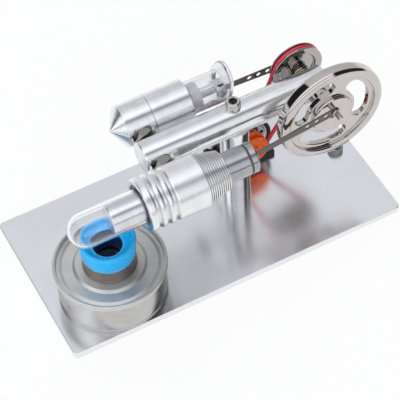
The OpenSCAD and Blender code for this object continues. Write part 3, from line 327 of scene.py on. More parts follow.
def make_finishes():
    brushed_plate("plate", (0.9, 0.9, 0.925))
    turned_metal("beam", "X", ALUMINIUM, 0.2, 0.7)
    turned_metal("cylinder", "X", ALUMINIUM, 0.22, 0.7)
    turned_metal("cooler", "X", (0.94, 0.945, 0.955), 0.31, 0.4)
    turned_metal("guide", "X", (0.43, 0.43, 0.45), 0.16, 0.6, wear=0.04)
    turned_metal("column", "Z", (0.9, 0.9, 0.91), 0.12, 0.5, wear=0.04)
    turned_metal("cross", "Y", ALUMINIUM, 0.22, 0.7)
    plated_metal("nickel", (0.6, 0.565, 0.54))
    plated_metal("wheel", (0.44, 0.42, 0.4), 0.1)
    plated_metal("screw", (0.6, 0.58, 0.55), 0.08)
    plated_metal("nut", (0.35, 0.33, 0.305), 0.13)
    plain_metal("strip", (0.17, 0.15, 0.142), 0.28)
    plain_metal("dark_screw", (0.12, 0.12, 0.125), 0.35)
    turned_metal("brass", "Y", (0.78, 0.6, 0.3), 0.25, 0.5)
    turned_metal("motor", "Y", (0.66, 0.66, 0.68), 0.25, 0.4)
    turned_metal("piston", "X", (0.8, 0.8, 0.83), 0.24, 0.5, wear=0.02)
    turned_metal("tin", "Z", (0.56, 0.555, 0.54), 0.25, 0.5, wear=0.1)
    turned_metal("lid", "Z", (0.7, 0.69, 0.67), 0.43, 0.3, wear=0.08, metallic=0.9)
    plain_metal("neck", (0.36, 0.32, 0.28), 0.38, mottle=0.15, scale=0.3)
    clear_glass("glass")
    clear_glass("barrel", (0.93, 0.94, 0.965), wobble=0.1, haze=0.13)
    ground_glass("ground")
    clear_glass("lamp", (0.95, 0.96, 1.0), wobble=0.02)
    moulded_plastic("rubber", (0.022, 0.022, 0.025), 0.55, 5)
    moulded_plastic("grey_rubber", (0.11, 0.11, 0.12), 0.5, 5)
    moulded_plastic("seal", (0.22, 0.23, 0.26), 0.4, 5)
    moulded_plastic("socket", (0.26, 0.26, 0.27), 0.45, 4)
    moulded_plastic("black", (0.018, 0.018, 0.02), 0.4, 4)
    plain_metal("magnet", (0.1, 0.1, 0.105), 0.5)
    moulded_plastic("orange", (1.0, 0.16, 0.012), 0.28, 2, glow=0.15)
    moulded_plastic("belt", (0.62, 0.03, 0.07), 0.36, 3, glow=0.1, shade=0.9)
    moulded_plastic("blue", (0.01, 0.5, 1.0), 0.26, 1.5, glow=0.12, shade=0.94)
    # Dark navy used only as painted shade inside the burner cap's hole.
    moulded_plastic("painted_shade_navy", (0.006, 0.05, 0.24), 0.3, 1.5)
    woven_wick("wick")
    wound_copper("copper")


# Shapes

ARC_STEPS = 5
AROUND = 160
FINE_AROUND = 192
NEARLY_STRAIGHT = math.radians(88)
REACH_SHARE = 0.48
ON_AXIS = 1e-5
WELD = 1e-6
OVERRUN = 1


def soften(corners, edge):
    """Rounds the corners of a closed outline. A corner is (a, b) or (a, b, its own radius)."""
    points = []
    for i, corner in enumerate(corners):
        here = Vector(corner[:2])
        radius = corner[2] if len(corner) > 2 else edge
        last = Vector(corners[i - 1][:2]) - here
        after = Vector(corners[(i + 1) % len(corners)][:2]) - here
        half_angle = last.angle(after) / 2
        if radius <= 0 or half_angle > NEARLY_STRAIGHT:
            points.append(here)
            continue
        reach = min(radius / math.tan(half_angle), REACH_SHARE * last.length, REACH_SHARE * after.length)
        radius = reach * math.tan(half_angle)
        inward = (last.normalized() + after.normalized()).normalized()
        centre = here + inward * (radius / math.sin(half_angle))
        first = here + last.normalized() * reach - centre
        turn = first.angle_signed(here + after.normalized() * reach - centre)
        for step in range(ARC_STEPS + 1):
            spoke = first.copy()
            spoke.rotate(Matrix.Rotation(-turn * step / ARC_STEPS, 2))
            points.append(centre + spoke)
    return points


def placed(axis, centre, radius, angle, along):
    """A point at a radius and angle about an axis; centre gives the axis's two fixed places."""
    first = centre[0] + radius * math.cos(angle)
    second = centre[1] + radius * math.sin(angle)
    return {"X": (along, first, second), "Y": (first, along, second), "Z": (first, second, along)}[axis]


def mesh_of(name, points, faces):
    """A mesh from points in millimetres, its faces turned outwards."""
    mesh = bpy.data.meshes.new(name)
    mesh.from_pydata([[c * MM for c in p] for p in points], [], faces)
    shape = bmesh.new()
    shape.from_mesh(mesh)
    bmesh.ops.recalc_face_normals(shape, faces=shape.faces)
    shape.to_mesh(mesh)
    shape.free()
    return mesh


def linked(name, mesh):
    thing = bpy.data.objects.new(name, mesh)
    bpy.context.scene.collection.objects.link(thing)
    return thing


def turned(name, corners, axis, centre, edge=0.2, around=AROUND):
    """A turned solid. Each corner is (radius, place along the axis) or has its own edge radius third."""
    outline = soften([(c[0], c[1], 0) if c[0] <= 0 else c for c in corners], edge)
    points = []
    rings = []
    for radius, along in outline:
        count = around if radius > ON_AXIS else 1
        rings.append(range(len(points), len(points) + count))
        points += [placed(axis, centre, radius, 2 * math.pi * k / around, along) for k in range(count)]
    faces = []
    for ring, after in zip(rings, rings[1:] + rings[:1]):
        if len(ring) == len(after) == 1:
            continue
        for k in range(around):
            corner_run = (ring[k % len(ring)], ring[(k + 1) % len(ring)],
                          after[(k + 1) % len(after)], after[k % len(after)])
            faces.append(tuple(dict.fromkeys(corner_run)))
    return linked(name, mesh_of(name, points, faces))


def flat(name, outlines, thick, edge, place):
    """A flat solid with holes: outlines in its own plane, half its thickness each way, edges rounded."""
    line = bpy.data.curves.new(name, "CURVE")
    line.dimensions = "2D"
    line.fill_mode = "BOTH"
    line.extrude = (thick / 2 - edge) * MM
    line.bevel_depth = edge * MM
    line.bevel_resolution = 2
    line.offset = -edge * MM
    for outline in outlines:
        spline = line.splines.new("POLY")
        spline.points.add(len(outline) - 1)
        for point, (a, b) in zip(spline.points, outline):
            point.co = (a * MM, b * MM, 0, 1)
        spline.use_cyclic_u = True
    solid = evaluated(linked(name, line))
    shape = bmesh.new()
    shape.from_mesh(solid.data)
    bmesh.ops.remove_doubles(shape, verts=shape.verts, dist=WELD)
    shape.transform(Matrix.Diagonal((1 / MM, 1 / MM, 1 / MM, 1)))
    shape.transform(place)
    shape.transform(Matrix.Diagonal((MM, MM, MM, 1)))
    bmesh.ops.recalc_face_normals(shape, faces=shape.faces)
    shape.to_mesh(solid.data)
    shape.free()
    return solid


def evaluated(thing):
    """The object with its modifiers made plain mesh; the old object is deleted."""
    name = thing.name
    graph = bpy.context.evaluated_depsgraph_get()
    mesh = bpy.data.meshes.new_from_object(thing.evaluated_get(graph), preserve_all_data_layers=True,
                                           depsgraph=graph)
    bpy.data.objects.remove(thing)
    mesh.name = name
    return linked(name, mesh)


def combined(thing, other, operation="DIFFERENCE"):
    """One solid from two; the second is used up."""
    modifier = thing.modifiers.new("boolean", "BOOLEAN")
    modifier.operation = operation
    modifier.solver = "EXACT"
    modifier.object = other
    solid = evaluated(thing)
    bpy.data.objects.remove(other)
    return solid


def bar(radius, low, high, bore=0.0):
    """The outline of a plain turned bar or bush."""
    return [(bore, low), (radius, low), (radius, high), (bore, high)]


def drilled(thing, radius, low, high, axis, centre, around=AROUND):
    """A solid less a round bore; with 6 around, the bore is a hexagon socket."""
    return combined(thing, turned("bore", bar(radius, low, high), axis, centre, 0, around))


def arc(radius, first, turn, steps, a=0.0, b=0.0):
    """Points on an arc about (a, b) from its first angle on, with both its ends."""
    angles = [first + turn * k / steps for k in range(steps + 1)]
    return [(a + radius * math.cos(angle), b + radius * math.sin(angle)) for angle in angles]


def circle(radius, a=0.0, b=0.0, count=48):
    return arc(radius, 0, 2 * math.pi, count, a, b)[:-1]


CORNER_STEPS = 8


def rounded_box(length, width, radius):
    points = []
    for turn, (sx, sy) in enumerate([(1, 1), (-1, 1), (-1, -1), (1, -1)]):
        points += arc(radius, math.pi / 2 * turn, math.pi / 2, CORNER_STEPS, sx * (length / 2 - radius),
                      sy * (width / 2 - radius))
    return points


def round_end(radius, tip, steps=20, way=1):
    """Corners of a round end, from its tip on the axis to the side; way is 1 or -1 along the axis."""
    angles = [math.pi / 2 * k / steps for k in range(steps + 1)]
    return [(radius * math.sin(angle), tip + way * radius * (1 - math.cos(angle)), 0) for angle in angles]


def upright(axis, a, b, along):
    """Places a flat solid square to an axis: its own x and y run along the other two."""
    columns = {"X": ((0, 1, 0), (0, 0, 1), (1, 0, 0)), "Y": ((1, 0, 0), (0, 0, 1), (0, -1, 0)),
               "Z": ((1, 0, 0), (0, 1, 0), (0, 0, 1))}[axis]
    origin = {"X": (along, a, b), "Y": (a, along, b), "Z": (a, b, along)}[axis]
    return Matrix.Translation(origin) @ Matrix(columns).transposed().to_4x4()


SHARP = math.radians(34)


def done(thing, node, finish, trim=False):
    """Finishes a piece: smooth faces, sharp edges, material, body and, unless it is trim, its node."""
    mesh = thing.data
    mesh.polygons.foreach_set("use_smooth", [True] * len(mesh.polygons))
    mesh.set_sharp_from_angle(angle=SHARP)
    modifier = thing.modifiers.new("normals", "WEIGHTED_NORMAL")
    modifier.keep_sharp = True
    thing = evaluated(thing)
    thing.data.materials.clear()
    thing.data.materials.append(finishes[finish])
    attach(thing, frame["nodes"][node]["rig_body"])
    if not trim:
        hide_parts(node)
    return thing


def turned_piece(node, corners, axis, centre, finish, edge=0.2, around=AROUND):
    done(turned(node + "_piece", corners, axis, centre, edge, around), node, finish)


# Repeats made by geometry nodes

def node_group(name, sizes):
    """A geometry tree with an input for the part that repeats and one for each size."""
    tree = bpy.data.node_groups.new(name, "GeometryNodeTree")
    tree.interface.new_socket("Geometry", in_out="OUTPUT", socket_type="NodeSocketGeometry")
    tree.interface.new_socket("Geometry", in_out="INPUT", socket_type="NodeSocketGeometry")
    for label, kind in sizes:
        tree.interface.new_socket(label, in_out="INPUT", socket_type=kind)
    return tree, add(tree, "NodeGroupInput").outputs, add(tree, "NodeGroupOutput")


def close_group(tree, output, instances, material):
    real = add(tree, "GeometryNodeRealizeInstances", {0: instances})
    dressed = add(tree, "GeometryNodeSetMaterial", {"Geometry": real.outputs[0], "Material": material})
    tree.links.new(dressed.outputs[0], output.inputs[0])


def repeated(thing, tree, sizes):
    """Runs a tree on the object that it repeats, with its named sizes, and returns the plain result."""
    modifier = thing.modifiers.new("repeat", "NODES")
    modifier.node_group = tree
    for item in tree.interface.items_tree:
        if item.in_out == "INPUT" and item.name in sizes:
            modifier[item.identifier] = sizes[item.name]
    return evaluated(thing)


def row_tree(name, material):
    """Copies along X at a pitch, each smaller round its own axis than the one before."""
    tree, given, output = node_group(name, [("Count", "NodeSocketInt"), ("Pitch", "NodeSocketFloat"),
                                            ("Last share", "NodeSocketFloat"), ("Axis", "NodeSocketVector")])
    step = add(tree, "ShaderNodeCombineXYZ", {0: given["Pitch"]}).outputs[0]
    line = add(tree, "GeometryNodeMeshLine",
               {"Count": given["Count"], "Start Location": given["Axis"], "Offset": step})
    index = add(tree, "GeometryNodeInputIndex").outputs[0]
    share = maths(tree, "DIVIDE", index, maths(tree, "SUBTRACT", given["Count"], 1.0))
    size = add(tree, "ShaderNodeMapRange", {0: share, 3: 1.0, 4: given["Last share"]}).outputs[0]
    scale = add(tree, "ShaderNodeCombineXYZ", {0: 1.0, 1: size, 2: size}).outputs[0]
    copies = add(tree, "GeometryNodeInstanceOnPoints",
                 {"Points": line.outputs[0], "Instance": given[0], "Scale": scale})
    close_group(tree, output, copies.outputs[0], material)
    return tree


def round_tree(name, material):
    """Copies at equal angles about an upright axis."""
    tree, given, output = node_group(name, [("Count", "NodeSocketInt"), ("Axis", "NodeSocketVector")])
    line = add(tree, "GeometryNodeMeshLine",
               {"Count": given["Count"], "Start Location": given["Axis"], "Offset": (0, 0, 0)})
    index = add(tree, "GeometryNodeInputIndex").outputs[0]
    turn = maths(tree, "DIVIDE", maths(tree, "MULTIPLY", index, 2 * math.pi), given["Count"])
    angles = add(tree, "ShaderNodeCombineXYZ", {2: turn}).outputs[0]
    copies = add(tree, "GeometryNodeInstanceOnPoints",
                 {"Points": line.outputs[0], "Instance": given[0], "Rotation": angles})
    close_group(tree, output, copies.outputs[0], material)
    return tree


def sweep_tree(name, material):
    """A round section along the given line."""
    tree, given, output = node_group(name, [("Radius", "NodeSocketFloat"), ("Sides", "NodeSocketInt")])
    section = add(tree, "GeometryNodeCurvePrimitiveCircle",
                  {"Radius": given["Radius"], "Resolution": given["Sides"]}).outputs[0]
    tube = add(tree, "GeometryNodeCurveToMesh", {"Curve": given[0], "Profile Curve": section})
    smooth = add(tree, "GeometryNodeSetShadeSmooth", {"Geometry": tube.outputs[0]})
    close_group(tree, output, smooth.outputs[0], material)
    return tree


# Main axes and shared sizes, from the construction

BEAM_LOW, BEAM_HIGH = span("main_beam")
BEAM_R = (BEAM_HIGH.z - BEAM_LOW.z) / 2
AXIS_Z = (BEAM_HIGH.z + BEAM_LOW.z) / 2
BEAM = (0, AXIS_Z)
FRONT_Y = middle("cooler_body").y
FRONT = (FRONT_Y, AXIS_Z)
REAR_Y = middle("cone_cap").y
REAR = (REAR_Y, AXIS_Z)
CRANK = (middle("crank_axle").x, AXIS_Z)
MOTOR = (middle("motor_can").x, middle("motor_can").z)
BURNER = (middle("fuel_can").x, middle("fuel_can").y)
PLATE_TOP = span("base_plate")[1].z
AXLE_R = half("crank_axle").x
WRIST_R = half("displacer_wrist_pin").x
SEAT_FIT = 0.02
RUN_FIT = 0.05
GUIDE_BORE = 5.2
BARREL_BORE = 5.75
CROSS_BORE = 1.2
TUBE_SEAT_R = half("glass_hot_tube").z + SEAT_FIT
ROD_SEAT_R = half("displacer_rod").z + SEAT_FIT
SHAFT_SEAT_R = half("motor_shaft").x + SEAT_FIT


def plain_bars():
    """The plain round pieces: each has its node's size, its own bore, edge radius and number of sides."""
    gland_bore = half("displacer_rod").z + RUN_FIT
    bearing_bore = half("motor_shaft").x + RUN_FIT
    for node, axis, centre, bore, finish, edge, around in (
            ("hot_tube_seal", "X", FRONT, TUBE_SEAT_R, "seal", 0.5, AROUND),
            ("guide_seal_ring", "X", FRONT, GUIDE_BORE, "grey_rubber", 0.25, AROUND),
            ("gland_bush", "X", FRONT, gland_bore, "brass", 0.15, 64),
            ("displacer_rod", "X", FRONT, 0, "screw", 0.15, 64),
            ("displacer_wrist_pin", "Y", None, 0, "screw", 0.15, 48),
            ("cross_tube", "Y", None, CROSS_BORE, "cross", 0.15, 64),
            ("barrel_seal", "X", REAR, BARREL_BORE, "rubber", 0.2, AROUND),
            ("motor_bearing", "Y", MOTOR, bearing_bore, "brass", 0.2, 64),
            ("motor_shaft", "Y", MOTOR, 0, "screw", 0.15, 48),
            ("motor_armature", "Y", MOTOR, SHAFT_SEAT_R, "copper", 0.8, 96),
            ("crank_axle", "Y", CRANK, 0, "screw", 0.3, 64),
            ("front_crank_pin", "Y", None, 0, "screw", 0.2, 64),
            ("rear_crank_pin", "Y", None, 0, "screw", 0.2, 64),
            ("wick", "Z", BURNER, 0, "wick", 0.8, 64)):
        radius, low, high, own = round_of(node, axis)
        turned_piece(node, bar(radius, low, high, bore), axis, centre or own, finish, edge, around)


# Base plate, column and beam

PLATE_CORNER = 2
PLATE_EDGE = 0.35
BASE_HEAD_H = 1.8
BASE_SHANK_R = 2
BASE_SOCKET_R = 1
BASE_SOCKET_DEPTH = 0.9


def base_plate():
    size = 2 * half("base_plate")
    plate = flat("base_plate_piece", [rounded_box(size.x, size.y, PLATE_CORNER)], PLATE_TOP, PLATE_EDGE,
                 upright("Z", 0, 0, PLATE_TOP / 2))
    head_r, _, _, centre = round_of("column_base_screw", "Z")
    plate = drilled(plate, head_r + SEAT_FIT, -OVERRUN, BASE_HEAD_H, "Z", centre)
    plate = done(plate, "base_plate", "plate")
    layer = plate.data.uv_layers.new(name="brush")
    unit = size.x / 2 * MM
    for loop in plate.data.loops:
        place = plate.data.vertices[loop.vertex_index].co
        layer.data[loop.index].uv = (place.x / unit, (place.y + place.z) / unit)


def base_screw():
    head_r, _, top, centre = round_of("column_base_screw", "Z")
    screw = turned("column_base_screw_piece",
                   [(0, 0), (head_r, 0), (head_r, BASE_HEAD_H), (BASE_SHANK_R, BASE_HEAD_H, 0),
                    (BASE_SHANK_R, top), (0, top)], "Z", centre, 0.2, 96)
    screw = drilled(screw, BASE_SOCKET_R, -OVERRUN, BASE_SOCKET_DEPTH, "Z", centre, 6)
    done(screw, "column_base_screw", "dark_screw")


def support_column():
    radius, low, high, centre = round_of("support_column", "Z")
    column = turned("support_column_piece", bar(radius, low, high), "Z", centre, 0.25)
    column = drilled(column, BEAM_R, centre[0] - 2 * radius, centre[0] + 2 * radius, "X", BEAM)
    done(column, "support_column", "column")


BEAM_EDGE = 0.8
NUT_POCKET_FIT = 0.5
BUSHES = ((-1, "axle_bush_front"), (1, "axle_bush_rear"))
BUSH_SHANK_R = 3
BUSH_FLANGE = 0.8
BUSH_POCKET_FIT = 0.3


def main_beam():
    beam = turned("main_beam_piece", bar(BEAM_R, BEAM_LOW.x, BEAM_HIGH.x), "X", BEAM, BEAM_EDGE)
    nut_r, _, nut_back, centre = round_of("spacer_nut_front", "Y")
    beam = drilled(beam, nut_r + NUT_POCKET_FIT, -2 * BEAM_R, nut_back, "Y", centre)
    for side, node in BUSHES:
        radius, low, high, _ = round_of(node, "Y")
        seat = side * (max(abs(low), abs(high)) - BUSH_FLANGE)
        low, high = sorted((seat, side * 2 * BEAM_R))
        beam = drilled(beam, radius + BUSH_POCKET_FIT, low, high, "Y", CRANK)
    done(beam, "main_beam", "beam")


def axle_bushes():
    bore = AXLE_R + RUN_FIT
    for side, node in BUSHES:
        radius, low, high, _ = round_of(node, "Y")
        inner, outer = (side * end for end in sorted((abs(low), abs(high))))
        flange = outer - side * BUSH_FLANGE
        turned_piece(node, [(bore, inner), (BUSH_SHANK_R, inner), (BUSH_SHANK_R, flange, 0), (radius, flange),
                            (radius, outer), (bore, outer)], "Y", CRANK, "brass", 0.15, 96)


SCREW_HEAD_H = 4.4
SCREW_SHANK_R = 1.75
SCREW_TOP_EDGE = 0.55
SOCKET_R = 1.9
SOCKET_DEPTH = 2.2
# Sizes of a near-black sleeve down in the screw's hexagon socket: painted shade for the deep recess.
PAINTED_SOCKET_SHADE_GAP = 0.02
PAINTED_SOCKET_SHADE_IN = 0.06
PAINTED_SOCKET_SHADE_H = 0.9
PAINTED_SOCKET_SHADE_BORE = 0.6
KNURL_COUNT = 22
KNURL_DEPTH = 0.14
RIB_R = 0.26
RIB_SINK = 0.12
RIB_LOW = 0.25
RIB_HIGH = 0.5


def beam_screw():
    head_r, low, top, centre = round_of("beam_screw", "Z")
    seat = top - SCREW_HEAD_H
    core_r = head_r - KNURL_DEPTH
    head = turned("beam_screw_piece",
                  [(0, low), (SCREW_SHANK_R, low), (SCREW_SHANK_R, seat, 0), (core_r, seat),
                   (core_r, top, SCREW_TOP_EDGE), (0, top)], "Z", centre, 0.3, 96)
    floor_z = top - SOCKET_DEPTH
    done(drilled(head, SOCKET_R, floor_z, top + OVERRUN, "Z", centre, 6), "beam_screw", "screw")
    # A near-black hexagonal sleeve in the socket's lower part: painted shade, not dirt.
    painted_socket_shade = bar(SOCKET_R - PAINTED_SOCKET_SHADE_IN, floor_z + PAINTED_SOCKET_SHADE_GAP, floor_z + PAINTED_SOCKET_SHADE_H, PAINTED_SOCKET_SHADE_BORE)
    painted_socket_shade = turned("beam_screw_socket_painted_shade", painted_socket_shade, "Z", centre, 0, 6)
    done(painted_socket_shade, "beam_screw", "rubber", trim=True)
    rib = turned("beam_screw_knurl", bar(RIB_R, seat + RIB_LOW, top - RIB_HIGH), "Z", (core_r - RIB_SINK, 0),
                 RIB_SINK, 12)
    knurl = repeated(rib, round_tree("knurl", finishes["screw"]),
                     {"Count": KNURL_COUNT, "Axis": (centre[0] * MM, centre[1] * MM, 0)})
    done(knurl, "beam_screw", "screw", trim=True)


# Displacer cylinder

GROOVES = 3
GROOVE_FIRST = 4
GROOVE_PITCH = 3.6
GROOVE_WIDTH = 1.7
GROOVE_FLOOR_SHARE = 0.3
GROOVE_DEPTH = 1.7
GROOVE_LIP = 0.9
FIN_COUNT = 10
FIN_PITCH = 1
FIN_DEPTH = 1.3
FIN_STEP = 0.6
FIN_SMALL_R = 8.3
FIN_SINK = 0.3
FIN_HALF_SHARE = 0.32
FIN_FIRST_SHARE = 0.75
FIN_EDGE = 0.29
COOLER_EDGE = 0.8
FACE_BACK = 0.1
MOUTH_R = 5
MOUTH_L = 2.5
CHAMBER_R = 6.3


def cooler_body():
    radius = half("cooler_body").z
    start, end = (corner.x for corner in span("cooler_body"))
    seal_r = half("hot_tube_seal").z + SEAT_FIT
    seal_end = span("hot_tube_seal")[1].x
    tube_end = span("glass_hot_tube")[1].x
    corners = [(seal_r, seal_end), (seal_r, start, 0.25), (radius, start, COOLER_EDGE)]
    floor_r = radius - GROOVE_DEPTH
    wall = GROOVE_WIDTH / 2
    floor_half = wall * GROOVE_FLOOR_SHARE
    for i in range(GROOVES):
        x = start + GROOVE_FIRST + i * GROOVE_PITCH
        corners += [(radius, x - wall, GROOVE_LIP), (floor_r, x - floor_half), (floor_r, x + floor_half),
                    (radius, x + wall, GROOVE_LIP)]
    fins_x = end - FIN_COUNT * FIN_PITCH
    fin_r = radius - FIN_STEP
    root_r = fin_r - FIN_DEPTH
    last_root_r = FIN_SMALL_R - FIN_DEPTH
    face = end - FACE_BACK
    mouth = end - MOUTH_L
    corners += [(radius, fins_x, 0.3), (root_r, fins_x), (last_root_r, end - FIN_PITCH / 2),
                (last_root_r, face), (MOUTH_R, face), (MOUTH_R, mouth, 0), (CHAMBER_R, mouth, 0),
                (CHAMBER_R, tube_end, 0), (TUBE_SEAT_R, tube_end, 0), (TUBE_SEAT_R, seal_end)]
    turned_piece("cooler_body", corners, "X", FRONT, "cooler", 0.2, FINE_AROUND)
    tip = FIN_PITCH * FIN_HALF_SHARE
    foot_r = root_r - FIN_SINK
    ring = [(foot_r, -tip, 0), (fin_r, -tip), (fin_r, tip), (foot_r, tip, 0)]
    ring = turned("cooler_fins", ring, "X", (0, 0), FIN_EDGE, FINE_AROUND)
    first = (fins_x + FIN_PITCH * FIN_FIRST_SHARE, *FRONT)
    fins = repeated(ring, row_tree("fin_row", finishes["cylinder"]),
                    {"Count": FIN_COUNT, "Pitch": FIN_PITCH * MM, "Last share": FIN_SMALL_R / fin_r,
                     "Axis": [c * MM for c in first]})
    done(fins, "cooler_body", "cylinder", trim=True)


TUBE_WALL = 0.95


def glass_tube():
    radius, tip, end, _ = round_of("glass_hot_tube", "X")
    inner = radius - TUBE_WALL
    corners = round_end(radius, tip) + [(radius, end), (inner, end)]
    corners += round_end(inner, tip + TUBE_WALL)[::-1]
    turned_piece("glass_hot_tube", corners, "X", FRONT, "glass", 0.3)


SPIGOT_R = 4.98


def guide():
    """The plain tube on the cooler's cold end, and its end cap."""
    radius, start, end, _ = round_of("guide_tube", "X")
    bush_r = half("gland_bush").z + SEAT_FIT
    shoulder = span("cooler_body")[1].x
    wall = span("gland_bush")[1].x
    corners = [(bush_r, start), (SPIGOT_R, start), (SPIGOT_R, shoulder, 0), (radius, shoulder),
               (radius, end), (GUIDE_BORE, end), (GUIDE_BORE, wall), (bush_r, wall)]
    turned_piece("guide_tube", corners, "X", FRONT, "guide")
    _, start, end, _ = round_of("guide_cap", "X")
    corners = [(GUIDE_BORE, start), (radius, start), (radius, end, 0.5), (GUIDE_BORE, end, 0.4)]
    turned_piece("guide_cap", corners, "X", FRONT, "guide")


SHELL_WALL = 0.6
PLUG_HOLE = 2
CLEVIS_HOLE = 1.6
CLEVIS_SLOT_BACK = 2.7
SLOT_WIDTH = 1.4
SLOT_REACH = 6


def slotted(thing, start, end, y):
    """Cuts the slot for a con rod into a piece."""
    outline = [(start, -SLOT_REACH), (end, -SLOT_REACH), (end, SLOT_REACH), (start, SLOT_REACH)]
    return combined(thing, flat("slot", [outline], SLOT_WIDTH, 0, upright("Y", 0, AXIS_Z, y)))


def displacer():
    radius, start, end, _ = round_of("displacer_shell", "X")
    inner = radius - SHELL_WALL
    turned_piece("displacer_shell", [(0, start), (radius, start, 0.9), (radius, end, 0.15), (inner, end, 0.1),
                                     (inner, start + SHELL_WALL, 0.4), (0, start + SHELL_WALL)],
                 "X", FRONT, "piston")
    radius, start, end, _ = round_of("displacer_plug", "X")
    floor_x = end - PLUG_HOLE
    corners = [(0, start), (radius, start), (radius, end), (ROD_SEAT_R, end), (ROD_SEAT_R, floor_x),
               (0, floor_x)]
    turned_piece("displacer_plug", corners, "X", FRONT, "cylinder")
    radius, start, end, _ = round_of("displacer_clevis", "X")
    floor_x = start + CLEVIS_HOLE
    clevis = turned("displacer_clevis_piece",
                    [(0, floor_x), (ROD_SEAT_R, floor_x, 0), (ROD_SEAT_R, start), (radius, start, 0.4),
                     (radius, end, 0.5), (0, end)], "X", FRONT, 0.2, 96)
    pin = middle("displacer_wrist_pin")
    clevis = slotted(clevis, pin.x - CLEVIS_SLOT_BACK, end + OVERRUN, FRONT_Y)
    clevis = drilled(clevis, WRIST_R + SEAT_FIT, FRONT_Y - SLOT_REACH, FRONT_Y + SLOT_REACH, "Y",
                     (pin.x, pin.z), 48)
    done(clevis, "displacer_clevis", "cylinder")


# Gas transfer

NUTS = ("spacer_nut_front", "spacer_nut_rear")
NUT_SHARE = 0.93
NUT_CHAMFER = 1.1
NUT_FACE_SHARE = 0.97
NUT_TRIM_SHARE = 1.01
HEXAGON_FLAT = math.cos(math.radians(30))


def spacer_nuts():
    """Hexagons with both faces turned down to a round chamfer."""
    tube_r, _, _, centre = round_of("cross_tube", "Y")
    for node in NUTS:
        radius, low, high, _ = round_of(node, "Y")
        corner_r = radius * NUT_SHARE
        face_r = corner_r * HEXAGON_FLAT * NUT_FACE_SHARE
        wide_r = corner_r * NUT_TRIM_SHARE
        nut = turned(node + "_piece", bar(corner_r, low, high), "Y", centre, 0, 6)
        chamfers = [(0, low), (face_r, low, 0.1), (wide_r, low + NUT_CHAMFER), (wide_r, high - NUT_CHAMFER),
                    (face_r, high, 0.1), (0, high)]
        nut = combined(nut, turned("chamfers", chamfers, "Y", centre, 0.3, 96), "INTERSECT")
        nut = drilled(nut, tube_r + SEAT_FIT, low - OVERRUN, high + OVERRUN, "Y", centre, 64)
        done(nut, node, "nut")


# Power cylinder

CONE_RINGS = 15
CONE_GROOVE = 0.11
CONE_EDGE = 0.08
CAP_STRAIGHT = 11.9
CAP_FLOOR = 2
JOINT_R = 7.92
JOINT_L = 3


def cone_corners(tip_x, base_x, radius):
    """Corners of the cone, with the fine rings that the tool left."""
    corners = [(0, tip_x)]
    for i in range(1, 2 * CONE_RINGS):
        share = i / (2 * CONE_RINGS)
        lift = CONE_GROOVE if i % 2 else -CONE_GROOVE
        corners.append((radius * share + lift / 2, tip_x + (base_x - tip_x) * share - lift, CONE_EDGE))
    return corners


def power_cylinder():
    """The pointed cap and the sleeve that is pushed over its end."""
    radius = half("cone_cap").z
    tip, end = (corner.x for corner in span("cone_cap"))
    _, joint, sleeve_end, _ = round_of("cylinder_sleeve", "X")
    base = joint - CAP_STRAIGHT
    floor_x = base + CAP_FLOOR
    seat_r = half("barrel_seal").z + SEAT_FIT
    corners = cone_corners(tip, base, radius)
    corners += [(radius, base, 0.15), (radius, joint, 0.25), (JOINT_R, joint, 0), (JOINT_R, end),
                (seat_r, end), (seat_r, joint, 0), (BARREL_BORE, joint, 0), (BARREL_BORE, floor_x),
                (0, floor_x)]
    cap = turned("cone_cap_piece", corners, "X", REAR, 0.2, FINE_AROUND)
    nut_r, _, nut_back, centre = round_of("spacer_nut_rear", "Y")
    cap = drilled(cap, nut_r + NUT_POCKET_FIT, BEAM_R - OVERRUN, nut_back, "Y", centre)
    done(cap, "cone_cap", "cylinder")
    lap_r = JOINT_R + SEAT_FIT
    lap = joint + JOINT_L
    turned_piece("cylinder_sleeve", [(lap_r, joint), (radius, joint, 0.25), (radius, sleeve_end, 0.35),
                                     (seat_r, sleeve_end, 0.25), (seat_r, lap), (lap_r, lap)],
                 "X", REAR, "cylinder", 0.1, FINE_AROUND)


FLANGE_LENGTH = 36
FLANGE_WIDTH = 15.2
FLANGE_SQUARENESS = 2.6
FLANGE_THICK = 1.6
FLANGE_EDGE = 0.6
FLANGE_TURN = 25
FLANGE_STEPS = 96
BARREL_EDGE = 0.3


def bulge(share):
    return math.copysign(abs(share) ** (2 / FLANGE_SQUARENESS), share)


def glass_barrel():
    """A glass tube with a flange in the shape of a squarish oval."""
    start, end = (corner.x for corner in span("glass_barrel"))
    radius = half("barrel_seal").z
    core_r = BARREL_BORE - OVERRUN
    back = end - BARREL_EDGE
    tube = turned("glass_barrel_piece", [(core_r, start), (radius, start), (radius, back, 0), (core_r, back)],
                  "X", REAR, BARREL_EDGE)
    outline = [(FLANGE_WIDTH / 2 * bulge(b), FLANGE_LENGTH / 2 * bulge(a))
               for a, b in circle(1, count=FLANGE_STEPS)]
    turn = Matrix.Rotation(math.radians(FLANGE_TURN), 4, "X")
    place = Matrix.Translation((end - FLANGE_THICK / 2, *REAR)) @ turn @ upright("X", 0, 0, 0)
    barrel = combined(tube, flat("flange", [outline], FLANGE_THICK, FLANGE_EDGE, place), "UNION")
    barrel = drilled(barrel, BARREL_BORE, start - OVERRUN, end + OVERRUN, "X", REAR)
    done(barrel, "glass_barrel", "barrel")


RING_SHARES = (0.2, 0.4)
RING_HALF = 0.25
RING_FLOOR = 0.15
RING_DEPTH = 0.25
RING_EDGE = 0.05
PISTON_WALL = 1.2
PISTON_HEAD = 2
LUG_NECK = 3
EYE_BACK = 4.1
EYE_CORNER = 0.9
EYE_EDGE = 0.25
LUG_SLOT_BACK = 2.6
WRIST_HEAD_H = 1
DRIVER_SLOT = 0.53
DRIVER_SLOT_DEPTH = 0.5


